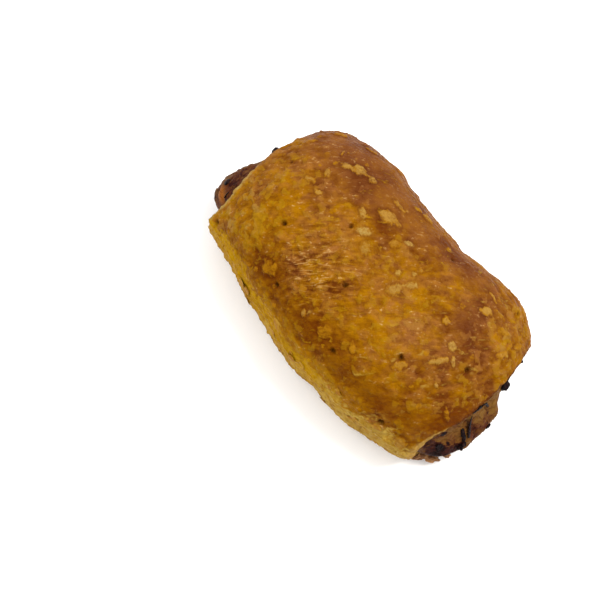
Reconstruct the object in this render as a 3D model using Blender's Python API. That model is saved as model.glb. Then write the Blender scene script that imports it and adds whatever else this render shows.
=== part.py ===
"""Sausage roll: a baked sleeve of puff pastry with a meat filling that runs through it.

Metres, +Z up. The roll lies along X on its seam, the underside at Z = 0, with the origin under
the middle of its bounding box. The pastry is one closed sleeve, open at both ends. The filling
runs through it and swells out past both cut ends, with charred strips of onion and herb fused
to it. Heights above a surface are given along its normal.
"""

import math

import bmesh
import bpy
import numpy as np
from mathutils import Vector, noise

# Sleeve
LENGTH = 0.120
HEIGHT = 0.0420
END_HEIGHT = 0.0295
DROOP = 4.2
WAIST_Z = 0.0140
FRONT_HALF = 0.03993
FRONT_TAPER = 0.263
FRONT_LEAN = 0.075
BACK_HALF = 0.03666
BACK_FLARE = 0.109
BACK_LEAN = 0.046
BACK_CORNER = 0.258
CORNER_POWER = 8
TOP_ROUND = 2.4
BASE_ROUND = 3.5
BASE_PRESS = 1.06
END_SAG = 0.0048
EAR_REACH = 0.0029
EAR_SHARE = -1.00
EAR_SPAN = 0.18
EAR_POWER = 7
DIP_DEPTH = 0.0017
DIP_SHARE = -0.715
DIP_SPAN = 0.26

# Wall of the sleeve, in the middle and at the cut ends
SIDE_WALL = 0.0058
SIDE_WALL_END = 0.0045
TOP_WALL = 0.0054
TOP_WALL_END = 0.0031
BASE_WALL = 0.0042
WALL_TAPER = 2
BORE_ROUND = 2.5
BORE_BASE_ROUND = 3.0
BORE_WAIST = 0.40
GAP = 0.0004

# Shelf where the cut wall juts out below the skin at the near end, and where that end begins
SHELF_Y = -0.0317
SHELF_SPAN = 0.0079
SHELF_REACH = 0.0014
SHELF_PLACE = 0.985

# Mesh density of the loft
COLUMNS = 60
OUTER_ROWS = 38
END_CROWDING = 0.55
SKIN_SHARE = 0.987
BASE_PULL = 9.0
SEAM_CLEAR = 1.6
SEAM_FOLLOW = 9.0
RIM_PATH = ((0.995, 0.10), (1.000, 0.34), (1.000, 0.70), (0.992, 0.95))
BORE_ROWS = (0.97, 0.90, 0.78, 0.55, 0.20)
CAP_RINGS = (0.96, 0.88, 0.77, 0.63, 0.46, 0.28, 0.12)

# Relief of the skin
SWELL_HEIGHT = 0.0010
SWELL_SPAN = 0.024
RIPPLE_HEIGHT = 0.00060
RIPPLE_SPAN = 0.0085
BASE_ANGLES = (234.0, 310.0)
BASE_FADE = 14.0
LEDGE_ANGLES = (166.0, 178.0, 190.0, 201.0)
LEDGE_HEIGHT = 0.0007
LEDGE_WIDTH = 3.2
LEDGE_SPAN = 0.017
LEDGE_WANDER = 4.0
LEDGE_FOOT = 0.55
SLOPE_STEP = 0.002

# Lap seam pressed into the underside: angle, its wander, and the groove's profile
SEAM_ANGLE = 262.0
SEAM_WAVES = ((1.80, 4.1, 0.6), (0.72, 11.0, 0.0))
SEAM_PROFILE = ((-2.6, 0.0), (-0.9, 0.0012), (0.9, 0.0010), (2.8, 0.0))

# Wide rises and hollows: place along (-1 to 1), angle, half spans (share, degrees), height
SHOULDERS = (
    (-0.98, 176.0, 0.09, 20.0, 0.0018),
    (-0.98, 62.0, 0.07, 16.0, -0.0006),
    (-0.62, 190.0, 0.20, 30.0, -0.0012),
    (-0.30, 190.0, 0.18, 30.0, -0.0022),
    (0.30, 196.0, 0.20, 30.0, -0.0016),
    (1.00, 210.0, 0.12, 24.0, -0.0012),
    (-0.80, 24.0, 0.16, 36.0, -0.0010),
    (-0.43, 14.0, 0.14, 30.0, 0.0011),
    (-0.06, 14.0, 0.10, 30.0, -0.0002),
    (0.26, 14.0, 0.16, 30.0, -0.0012),
    (0.66, 14.0, 0.14, 30.0, 0.0004),
    (0.90, 20.0, 0.08, 30.0, -0.0006),
)

# Blisters: place along, angle, half length and half width, turn in the skin, height
BLISTERS = (
    (-0.440, 132.4, 0.0036, 0.0032, 30.0, 0.0010),
    (-0.565, 60.0, 0.0050, 0.0022, 25.0, 0.0008),
    (-0.190, 66.2, 0.0038, 0.0030, 25.0, 0.0009),
    (-0.293, 76.3, 0.0030, 0.0020, 155.0, 0.0007),
    (-0.193, 82.9, 0.0032, 0.0022, 35.0, 0.0007),
    (-0.033, 37.2, 0.0034, 0.0020, 8.0, 0.0008),
    (0.205, 87.5, 0.0050, 0.0026, 62.0, 0.0008),
    (0.097, 128.7, 0.0034, 0.0030, 30.0, 0.0008),
    (0.540, 111.7, 0.0032, 0.0022, 60.0, 0.0007),
    (0.660, 95.9, 0.0040, 0.0020, 58.0, 0.0007),
    (0.637, 62.0, 0.0032, 0.0024, 50.0, 0.0009),
    (0.907, 153.8, 0.0034, 0.0028, 110.0, 0.0009),
    (-0.800, 97.0, 0.0032, 0.0024, 80.0, 0.0007),
)
BLISTER_EDGE = 1.5
BLISTER_FAR = 3.0

# Holes pricked through the skin before baking: place along and angle
PRICKS = (
    (-0.957, 163.0),
    (-0.560, 106.5),
    (-0.270, 85.6),
    (-0.337, 136.1),
    (-0.023, 103.6),
    (0.213, 134.2),
    (0.510, 107.8),
    (0.807, 89.5),
    (0.737, 150.9),
    (-0.250, 66.8),
    (0.273, 49.9),
)
PRICK_WIDTH = 0.0019
PRICK_DEPTH = 0.0022
PRICK_TAPER = 0.7
OUTWARD_ENOUGH = 0.3

# Lobes of the filling past each end: Y, Z, half spans in Y and Z, reach
NEAR_LOBES = (
    (-0.0138, 0.0071, 0.0104, 0.0091, 0.0072),
    (-0.0005, 0.0095, 0.0089, 0.0066, 0.0060),
    (-0.0255, 0.0036, 0.0062, 0.0120, 0.0080),
)
FAR_LOBES = (
    (-0.0126, 0.0107, 0.0146, 0.0132, 0.0102),
    (0.0015, 0.0148, 0.0072, 0.0093, 0.0034),
    (0.0198, 0.0111, 0.0074, 0.0100, 0.0013),
    (-0.0239, 0.0110, 0.0085, 0.0069, 0.0120),
)
LOBE_EDGE = 3.0
LOBE_BLEND = 1.7
CAP_FILL = 6
LUMP_HEIGHT = 0.0006
LUMP_SPAN = 0.0050
LUMP_SECTION = 0.05

# Charred strips on the filling: end (-1 or 1), Y and Z of start, middle and finish, half thickness
STRIPS = (
    (1, (-0.0104, 0.0173), (-0.0115, 0.0147), (-0.0145, 0.0118), 0.0011),
    (1, (-0.0052, 0.0205), (-0.0078, 0.0168), (-0.0097, 0.0138), 0.0008),
    (1, (-0.0050, 0.0228), (-0.0026, 0.0234), (0.0004, 0.0222), 0.0008),
    (1, (-0.0206, 0.0168), (-0.0202, 0.0158), (-0.0199, 0.0149), 0.0011),
    (1, (-0.0022, 0.0114), (-0.0010, 0.0110), (0.0002, 0.0109), 0.0009),
    (-1, (-0.0137, 0.0191), (-0.0123, 0.0198), (-0.0107, 0.0206), 0.0010),
    (-1, (0.0060, 0.0236), (0.0080, 0.0232), (0.0098, 0.0226), 0.0012),
    (-1, (-0.0172, 0.0205), (-0.0160, 0.0214), (-0.0150, 0.0221), 0.0008),
)
STRIP_LIFT = 0.35
STRIP_SIDES = 6
STRIP_RINGS = 5

PASTRY_COLOUR = (0.330, 0.125, 0.014, 1.0)
FILLING_COLOUR = (0.165, 0.055, 0.028, 1.0)
PASTRY_ROUGHNESS = 0.42
FILLING_ROUGHNESS = 0.55


def signed_power(value, power):
    """Raise the size of a value to a power and keep its sign."""
    return np.sign(value) * np.abs(value) ** power


def smooth_step(value):
    """Ease a value from 0 to 1."""
    value = np.clip(value, 0.0, 1.0)
    return value * value * (3.0 - 2.0 * value)


def half_width(s, side):
    """Half width of the sleeve at s on the flank that side is on: -1 at the front, 1 at the back."""
    front = FRONT_HALF * (1.0 - FRONT_TAPER * s**2 + FRONT_LEAN * s)
    corner = BACK_CORNER * np.abs(s) ** CORNER_POWER
    back = BACK_HALF * (1.0 + BACK_FLARE * s**2 - BACK_LEAN * s - corner)
    return np.where(side < 0, front, back)


def crown(s):
    """Height of the sleeve at s, which droops to the cut ends."""
    return HEIGHT - (HEIGHT - END_HEIGHT) * np.abs(s) ** DROOP


def place_along(s, y):
    """X of a point of the section at s: bowed ends, an ear at the far one, a dip in the near one."""
    share = y / half_width(s, y)
    ear = EAR_REACH * np.exp(-(((share - EAR_SHARE) / EAR_SPAN) ** 2))
    far = np.maximum(-s, 0.0) ** EAR_POWER
    dip = DIP_DEPTH * np.exp(-(((share - DIP_SHARE) / DIP_SPAN) ** 2))
    near = np.maximum(s, 0.0) ** EAR_POWER
    return s * (LENGTH / 2.0 - END_SAG * share**2) - ear * far - dip * near


def plain_skin(s, angle):
    """Outside of the sleeve before its relief, as points of shape (..., 3)."""
    c = np.cos(angle)
    n = np.sin(angle)
    upper = n >= 0.0
    y = half_width(s, c) * signed_power(c, np.where(upper, 2.0 / TOP_ROUND, 2.0 / BASE_ROUND))
    top = WAIST_Z + (crown(s) - WAIST_Z) * np.abs(n) ** (2.0 / TOP_ROUND)
    low = WAIST_Z - WAIST_Z * BASE_PRESS * np.abs(n) ** (2.0 / BASE_ROUND)
    z = np.maximum(np.where(upper, top, low), 0.0)
    return np.stack([place_along(s, y), y, z], axis=-1)


def skin_normal(s, angle):
    """Outward normal of the plain skin, from its slopes."""
    along = plain_skin(s + SLOPE_STEP, angle) - plain_skin(s - SLOPE_STEP, angle)
    around = plain_skin(s, angle + SLOPE_STEP) - plain_skin(s, angle - SLOPE_STEP)
    normal = np.cross(around, along)
    return normal / np.linalg.norm(normal, axis=-1, keepdims=True)


def field(points, span):
    """Smooth noise from -1 to 1 at points, with features about span across."""
    flat = points.reshape(-1, 3) / span
    values = [noise.noise(Vector(point)) for point in flat]
    return np.array(values).reshape(points.shape[:-1])


def bump(points, blister):
    """Rounded rise of one blister, in its own turned axes on the skin."""
    place, angle, long_half, short_half, turn, height = blister
    centre = plain_skin(np.array(place), np.array(math.radians(angle)))
    beside = plain_skin(np.array(place), np.array(math.radians(angle - 1.0)))
    around = beside - centre
    around /= np.linalg.norm(around)
    away = points - centre
    u = away[..., 0]
    v = away @ around
    c, n = math.cos(math.radians(turn)), math.sin(math.radians(turn))
    reach = ((c * u + n * v) / long_half) ** 2 + ((c * v - n * u) / short_half) ** 2
    near = np.linalg.norm(away, axis=-1) < BLISTER_FAR * long_half
    return np.where(near, height * np.exp(-(reach**BLISTER_EDGE)), 0.0)


def skin_relief(s, degrees, points):
    """Height of everything on the skin: swells, ripples, ledges, shoulders and blisters."""
    low, high = BASE_ANGLES
    inside = np.minimum(degrees - low, high - degrees) / BASE_FADE
    bare = 1.0 - smooth_step(inside + 1.0)
    height = SWELL_HEIGHT * field(points, SWELL_SPAN)
    height += RIPPLE_HEIGHT * field(points + SWELL_SPAN, RIPPLE_SPAN)
    line = points * np.array([1.0, 0.0, 0.0])
    for ledge in LEDGE_ANGLES:
        wander = LEDGE_WANDER * field(line + ledge, LEDGE_SPAN)
        step = (degrees - ledge - wander) / LEDGE_WIDTH
        height += LEDGE_HEIGHT * np.exp(-(step**2)) * np.where(step > 0.0, 1.0, LEDGE_FOOT)
    for place, angle, span, sweep, rise in SHOULDERS:
        turn = (degrees - angle + 180.0) % 360.0 - 180.0
        height += rise * np.exp(-(((s - place) / span) ** 2) - (turn / sweep) ** 2)
    for blister in BLISTERS:
        height += bump(points, blister)
    return height * bare


def seam_depth(degrees, s):
    """Depth of the lap seam's groove, across its wandering line."""
    offset = degrees - SEAM_ANGLE - seam_wander(s)
    reach, depth = zip(*SEAM_PROFILE)
    return np.interp(offset, reach, depth, left=0.0, right=0.0)


def seam_wander(s):
    """Sideways wander of the seam, in degrees."""
    return sum(width * np.sin(pace * s + start) for width, pace, start in SEAM_WAVES)


def skin(s, degrees):
    """Outside of the sleeve with its relief."""
    angle = np.radians(degrees)
    points = plain_skin(s, angle)
    height = skin_relief(s, degrees, points)
    points = points + skin_normal(s, angle) * height[..., None]
    points[..., 2] = np.maximum(points[..., 2], 0.0) + seam_depth(degrees, s)
    return points


def bore_frame(s, side, gap):
    """Half width, floor, waist and top of the bore at s, shrunk by a gap."""
    ends = np.abs(s) ** WALL_TAPER
    width = half_width(s, side) - SIDE_WALL + (SIDE_WALL - SIDE_WALL_END) * ends - gap
    top = crown(s) - TOP_WALL + (TOP_WALL - TOP_WALL_END) * ends - gap
    floor = BASE_WALL + gap
    return width, floor, floor + BORE_WAIST * (top - floor), top


def bore(s, degrees, gap=0.0):
    """Inside wall of the sleeve, or the filling's side when there is a gap."""
    c = np.cos(np.radians(degrees))
    n = np.sin(np.radians(degrees))
    width, floor, waist, top = bore_frame(s, c, gap)
    upper = n >= 0.0
    y = width * signed_power(c, np.where(upper, 2.0 / BORE_ROUND, 2.0 / BORE_BASE_ROUND))
    high = waist + (top - waist) * np.abs(n) ** (2.0 / BORE_ROUND)
    low = waist - (waist - floor) * np.abs(n) ** (2.0 / BORE_BASE_ROUND)
    return np.stack([place_along(s, y), y, np.where(upper, high, low)], axis=-1)


def sleeve(s, degrees, depth):
    """Point of the sleeve's wall: depth 0 on the skin, 1 in the bore."""
    outer = skin(s, degrees)
    inner = bore(s, degrees)
    points = outer + (inner - outer) * depth[..., None]
    shelf = SHELF_REACH * np.exp(-(((points[..., 1] - SHELF_Y) / SHELF_SPAN) ** 2))
    upper = (points[..., 2] > BASE_WALL) * (s > SHELF_PLACE)
    points[..., 0] += shelf * upper * 4.0 * depth * (1.0 - depth)
    return points


def lobes(side, y, z):
    """How far the filling reaches past the end of the sleeve at Y, Z."""
    total = np.zeros_like(y)
    for centre_y, centre_z, span_y, span_z, reach in NEAR_LOBES if side > 0 else FAR_LOBES:
        fall = (np.abs(y - centre_y) / span_y) ** LOBE_EDGE
        fall += (np.abs(z - centre_z) / span_z) ** LOBE_EDGE
        total += (reach * np.exp(-fall)) ** LOBE_BLEND
    return total ** (1.0 / LOBE_BLEND)


def cap(side, y, z):
    """X of the filling's swollen end at Y, Z."""
    s = np.full_like(y, side * BORE_ROWS[0])
    width, floor, waist, top = bore_frame(s, y, GAP)
    upper = z >= waist
    power = np.where(upper, BORE_ROUND, BORE_BASE_ROUND)
    half = np.where(upper, top - waist, waist - floor)
    share = (np.abs(y / width) ** power + np.abs((z - waist) / half) ** power) ** (1.0 / power)
    rim = place_along(s, y)
    ends = side * (LENGTH / 2.0 - END_SAG * (y / half_width(s, y)) ** 2)
    points = np.stack([np.full_like(y, side * LUMP_SECTION), y, z], axis=-1)
    lump = LUMP_HEIGHT * field(points, LUMP_SPAN)
    full = ends + side * (lobes(side, y, z) + lump)
    return rim + (full - rim) * (1.0 - np.clip(share, 0.0, 1.0) ** CAP_FILL)


def column_angles():
    """Angles of the loft's columns, in degrees, with the seam's own columns among them."""
    around = COLUMNS - len(SEAM_PROFILE)
    angles = np.linspace(0.0, 360.0, around, endpoint=False)
    angles = angles - BASE_PULL * np.sin(np.radians(2.0 * angles)) * (angles > 180.0)
    seam = [SEAM_ANGLE + offset for offset, _ in SEAM_PROFILE]
    clear = [a for a in angles if min(abs(a - b) for b in seam) > SEAM_CLEAR]
    return np.array(sorted(clear + seam))


def follow_seam(degrees, s):
    """Shift the columns beside the seam so that they wander with it."""
    near = np.exp(-(((degrees - SEAM_ANGLE) / SEAM_FOLLOW) ** 4))
    return degrees + near * seam_wander(s)


def outer_places():
    """Places along the skin, closer together near the ends."""
    even = np.linspace(-1.0, 1.0, OUTER_ROWS)
    crowded = np.sin(even * math.pi / 2.0)
    return SKIN_SHARE * ((1.0 - END_CROWDING) * even + END_CROWDING * crowded)


def bore_places():
    """Places along the bore, from the near end to the far end."""
    return list(BORE_ROWS) + [-place for place in reversed(BORE_ROWS)]


def loft(rows, wrapped):
    """Close a grid over rows of points round X, into a torus when wrapped."""
    count, around = rows.shape[:2]
    grid = bmesh.new()
    bmesh.ops.create_grid(
        grid,
        x_segments=around,
        y_segments=count if wrapped else count - 1,
        size=1.0,
    )
    grid.verts.ensure_lookup_table()
    steps_along = count + 1 if wrapped else count
    for vert in grid.verts:
        column = round((vert.co.x + 1.0) / 2.0 * around) % around
        row = round((vert.co.y + 1.0) / 2.0 * (steps_along - 1)) % count
        vert.co = rows[row, column]
    bmesh.ops.remove_doubles(grid, verts=grid.verts, dist=1e-7)
    return grid


def make_object(name, grid, colour, roughness):
    """Turn a bmesh into a smooth-shaded object with its own material."""
    bmesh.ops.recalc_face_normals(grid, faces=grid.faces)
    mesh = bpy.data.meshes.new(name)
    grid.to_mesh(mesh)
    grid.free()
    mesh.shade_smooth()
    item = bpy.data.objects.new(name, mesh)
    bpy.context.scene.collection.objects.link(item)
    material = bpy.data.materials.new(name)
    material.use_nodes = True
    shader = material.node_tree.nodes["Principled BSDF"]
    shader.inputs["Base Color"].default_value = colour
    shader.inputs["Roughness"].default_value = roughness
    mesh.materials.append(material)
    return item


def prick(grid):
    """Sink a small blind hole into the skin at each prick."""
    for place, degrees in PRICKS:
        centre = Vector(skin(np.array([place]), np.array([degrees]))[0])
        inward = -Vector(skin_normal(np.array([place]), np.radians([degrees]))[0])
        faces = [face for face in grid.faces if face.normal.dot(inward) < -OUTWARD_ENOUGH]
        face = min(faces, key=lambda item: (item.calc_center_median() - centre).length)
        width = math.sqrt(face.calc_area())
        bmesh.ops.inset_individual(grid, faces=[face], thickness=(width - PRICK_WIDTH) / 2.0)
        result = bmesh.ops.extrude_discrete_faces(grid, faces=[face])
        bottom = result["faces"][0]
        middle = bottom.calc_center_median()
        for vert in bottom.verts:
            vert.co = middle + (vert.co - middle) * PRICK_TAPER + inward * PRICK_DEPTH
    bmesh.ops.recalc_face_normals(grid, faces=grid.faces)


def make_pastry():
    """Build the pastry sleeve as one closed body with a bore through it."""
    path = [(place, 0.0) for place in outer_places()]
    path += list(RIM_PATH)
    path += [(place, 1.0) for place in bore_places()]
    path += [(-place, depth) for place, depth in reversed(RIM_PATH)]
    s = np.array([place for place, _ in path])[:, None]
    depth = np.array([share for _, share in path])[:, None]
    degrees = column_angles()[None, :]
    s, depth, degrees = np.broadcast_arrays(s, depth, degrees)
    rows = sleeve(s, follow_seam(degrees, s), depth)
    grid = loft(rows, True)
    bmesh.ops.recalc_face_normals(grid, faces=grid.faces)
    prick(grid)
    return make_object("pastry", grid, PASTRY_COLOUR, PASTRY_ROUGHNESS)


def make_filling_core():
    """Build the filling: straight through the bore, with a lobed dome past each end."""
    degrees = column_angles()[None, :]
    places = np.array(bore_places()[::-1])[:, None]
    s, degrees = np.broadcast_arrays(places, degrees)
    through = bore(s, follow_seam(degrees, s), GAP)
    ends = []
    for side in (-1, 1):
        edge = through[0] if side < 0 else through[-1]
        waist = bore_frame(np.array([side * BORE_ROWS[0]]), np.array([1.0]), GAP)[2][0]
        rings = []
        for share in CAP_RINGS:
            y = edge[:, 1] * share
            z = waist + (edge[:, 2] - waist) * share
            rings.append(np.stack([cap(side, y, z), y, z], axis=-1))
        ends.append(rings)
    rows = np.array(ends[0][::-1] + list(through) + ends[1])
    grid = loft(rows, False)
    bmesh.ops.holes_fill(grid, edges=[edge for edge in grid.edges if edge.is_boundary])
    return make_object("filling", grid, FILLING_COLOUR, FILLING_ROUGHNESS)


def make_strip(index, strip):
    """Bend a stretched ball along a strip's line on the end of the filling."""
    side, *stations, half = strip
    y, z = np.array(stations).T
    line = np.stack([cap(side, y, z) + side * STRIP_LIFT * half, y, z], axis=-1)
    start, middle, finish = (Vector(point) for point in line)
    grid = bmesh.new()
    bmesh.ops.create_uvsphere(grid, u_segments=STRIP_SIDES, v_segments=STRIP_RINGS, radius=1.0)
    for vert in grid.verts:
        t = (vert.co.z + 1.0) / 2.0
        spot = start * (1 - t) ** 2 + middle * 2 * t * (1 - t) + finish * t**2
        tangent = ((middle - start) * (1 - t) + (finish - middle) * t).normalized()
        across = tangent.cross(Vector((side, 0.0, 0.0))).normalized()
        vert.co = spot + (across * vert.co.x + across.cross(tangent) * vert.co.y) * half
    return make_object(f"strip_{index}", grid, FILLING_COLOUR, FILLING_ROUGHNESS)


def fuse(core, pieces):
    """Join pieces to the core with one Boolean union and remove them."""
    group = bpy.data.collections.new("strips")
    bpy.context.scene.collection.children.link(group)
    for piece in pieces:
        bpy.context.scene.collection.objects.unlink(piece)
        group.objects.link(piece)
    union = core.modifiers.new("fuse", "BOOLEAN")
    union.operation = "UNION"
    union.operand_type = "COLLECTION"
    union.collection = group
    union.solver = "EXACT"
    with bpy.context.temp_override(object=core, active_object=core):
        bpy.ops.object.modifier_apply(modifier=union.name)
    for piece in list(group.objects):
        bpy.data.objects.remove(piece)
    bpy.data.collections.remove(group)
    while len(core.data.materials) > 1:
        core.data.materials.pop()


def centre(items):
    """Put the origin under the middle of the bounding box of all items."""
    corners = np.array([vert.co for item in items for vert in item.data.vertices])
    low = corners.min(axis=0)
    high = corners.max(axis=0)
    shift = Vector((-(low[0] + high[0]) / 2.0, -(low[1] + high[1]) / 2.0, -low[2]))
    for item in items:
        for vert in item.data.vertices:
            vert.co += shift
    print("shift", tuple(shift), "size", tuple(high - low))


def main():
    """Build the roll."""
    for item in list(bpy.data.objects):
        bpy.data.objects.remove(item)
    pastry = make_pastry()
    filling = make_filling_core()
    strips = [make_strip(index, strip) for index, strip in enumerate(STRIPS)]
    fuse(filling, strips)
    centre([pastry, filling])
    for item in (pastry, filling):
        print(item.name, sum(len(face.vertices) - 2 for face in item.data.polygons))


main()
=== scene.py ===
"""Sausage roll: a blistered puff pastry sleeve round a browned meat filling.

Metres, +Z up, the long axis along X. The fine crust and filling stand for the plain solids of
the frame. Charred strips, burnt bits, lifted flakes and crumbs are pieces of their own.
"""

from __future__ import annotations

import logging
import math
from dataclasses import dataclass, field
from enum import Enum
from typing import Iterable, Sequence

import bmesh
import bpy
import numpy as np
from mathutils import Matrix, Vector, noise


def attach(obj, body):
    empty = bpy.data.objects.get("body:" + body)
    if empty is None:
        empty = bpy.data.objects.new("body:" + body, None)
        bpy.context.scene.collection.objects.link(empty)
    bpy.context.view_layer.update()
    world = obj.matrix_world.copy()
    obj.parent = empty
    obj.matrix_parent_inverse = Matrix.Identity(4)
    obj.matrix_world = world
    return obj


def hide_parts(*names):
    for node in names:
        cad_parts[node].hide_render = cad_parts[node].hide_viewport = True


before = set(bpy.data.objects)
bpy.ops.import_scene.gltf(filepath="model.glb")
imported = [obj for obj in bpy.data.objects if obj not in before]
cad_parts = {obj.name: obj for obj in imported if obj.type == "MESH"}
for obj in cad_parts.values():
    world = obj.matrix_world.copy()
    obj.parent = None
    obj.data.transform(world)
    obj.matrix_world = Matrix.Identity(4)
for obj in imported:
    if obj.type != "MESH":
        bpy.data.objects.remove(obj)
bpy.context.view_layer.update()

logging.basicConfig(level=logging.INFO, format="%(name)s: %(message)s")
log = logging.getLogger("sausage_roll")

Triple = tuple[float, float, float]
Colour = Triple
Pair = tuple[float, float]
Marks = dict[str, np.ndarray]

# Added to points that are given from the middle of the bare sleeve, to give them in the frame.
SHIFT = np.array([0.0011839, 0.0000961, 0.0])
ROOT = "root"
MM = 0.001
# Angle from X to the direction in which the skin's wrinkles and streaks run.
GRAIN_TURN = math.radians(46.6)
# How much brighter than its albedo the studio shows a surface.
LIGHT_GAIN = 2.35
# Distance below which vertices on the borders of a grid are merged.
WELD = 1e-8


class End(Enum):
    """The two cut ends of the roll, by the sign of X."""

    NEAR = 1
    FAR = -1


def srgb(red: float, green: float, blue: float) -> Colour:
    """Linear colour of an 8-bit screen colour.

    Args:
        red: Red from 0 to 255.
        green: Green from 0 to 255.
        blue: Blue from 0 to 255.

    Returns:
        The colour in linear light.
    """
    parts = [max(part, 0.0) / 255.0 for part in (red, green, blue)]
    line = [p / 12.92 if p <= 0.04045 else ((p + 0.055) / 1.055) ** 2.4 for p in parts]
    return line[0], line[1], line[2]


def baked(red: float, green: float, blue: float) -> Colour:
    """Albedo that the studio's light shows as an 8-bit screen colour.

    Args:
        red: Red from 0 to 255.
        green: Green from 0 to 255.
        blue: Blue from 0 to 255.

    Returns:
        The albedo in linear light.
    """
    line = [part / LIGHT_GAIN for part in srgb(red, green, blue)]
    return line[0], line[1], line[2]


def smooth_step(value: np.ndarray) -> np.ndarray:
    """Ease values from 0 to 1."""
    value = np.clip(value, 0.0, 1.0)
    return value * value * (3.0 - 2.0 * value)


def signed_power(value: np.ndarray, power: np.ndarray) -> np.ndarray:
    """Raise the size of each value to a power and keep its sign."""
    return np.sign(value) * np.abs(value) ** power


def bell(*ways: np.ndarray) -> np.ndarray:
    """Bump that is 1 where every way is 0 and fades as they grow."""
    return np.exp(-sum(way**2 for way in ways))


def turn_from(degrees: np.ndarray, angle: float) -> np.ndarray:
    """Turn from an angle to each of the given ones, between -180 and 180 degrees."""
    return (degrees - angle + 180.0) % 360.0 - 180.0


def raise_mark(marks: Marks, name: str, value: np.ndarray, where: object = ...) -> None:
    """Lift a mark to at least a value.

    Args:
        marks: The marks, one of which is changed in place.
        name: Name of the mark.
        value: The value to reach.
        where: Index of the points, or all of them.
    """
    marks[name][where] = np.maximum(marks[name][where], value)


def field_of(points: np.ndarray, span: float | Sequence[float]) -> np.ndarray:
    """Smooth noise from -1 to 1 at points.

    Args:
        points: Places, of shape (..., 3), in metres.
        span: Size of the features, one number or one for each axis.

    Returns:
        The noise, of the points' leading shape.
    """
    flat = (points.reshape(-1, 3) / np.asarray(span)).tolist()
    return np.array([noise.noise(point) for point in flat]).reshape(points.shape[:-1])


def fractal_of(points: np.ndarray, span: float | Sequence[float], octaves: int) -> np.ndarray:
    """Layered noise of a few octaves, about -1 to 1, at points.

    Args:
        points: Places, of shape (..., 3), in metres.
        span: Size of the largest features, one number or one for each axis.
        octaves: How many halvings of size are added.

    Returns:
        The noise, of the points' leading shape.
    """
    flat = (points.reshape(-1, 3) / np.asarray(span)).tolist()
    values = [noise.fractal(point, 0.9, 2.0, octaves) for point in flat]
    return np.array(values).reshape(points.shape[:-1])


def cells_of(points: np.ndarray, span: float | Sequence[float]) -> tuple[np.ndarray, np.ndarray]:
    """Distance to the nearest and second nearest grain centre at points.

    Args:
        points: Places, of shape (..., 3), in metres.
        span: Size of a grain, one number or one for each axis.

    Returns:
        The two distances in grain sizes, each of the points' leading shape.
    """
    flat = (points.reshape(-1, 3) / np.asarray(span)).tolist()
    found = np.array([noise.voronoi(point)[0][:2] for point in flat])
    shape = points.shape[:-1]
    return found[:, 0].reshape(shape), found[:, 1].reshape(shape)


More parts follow.
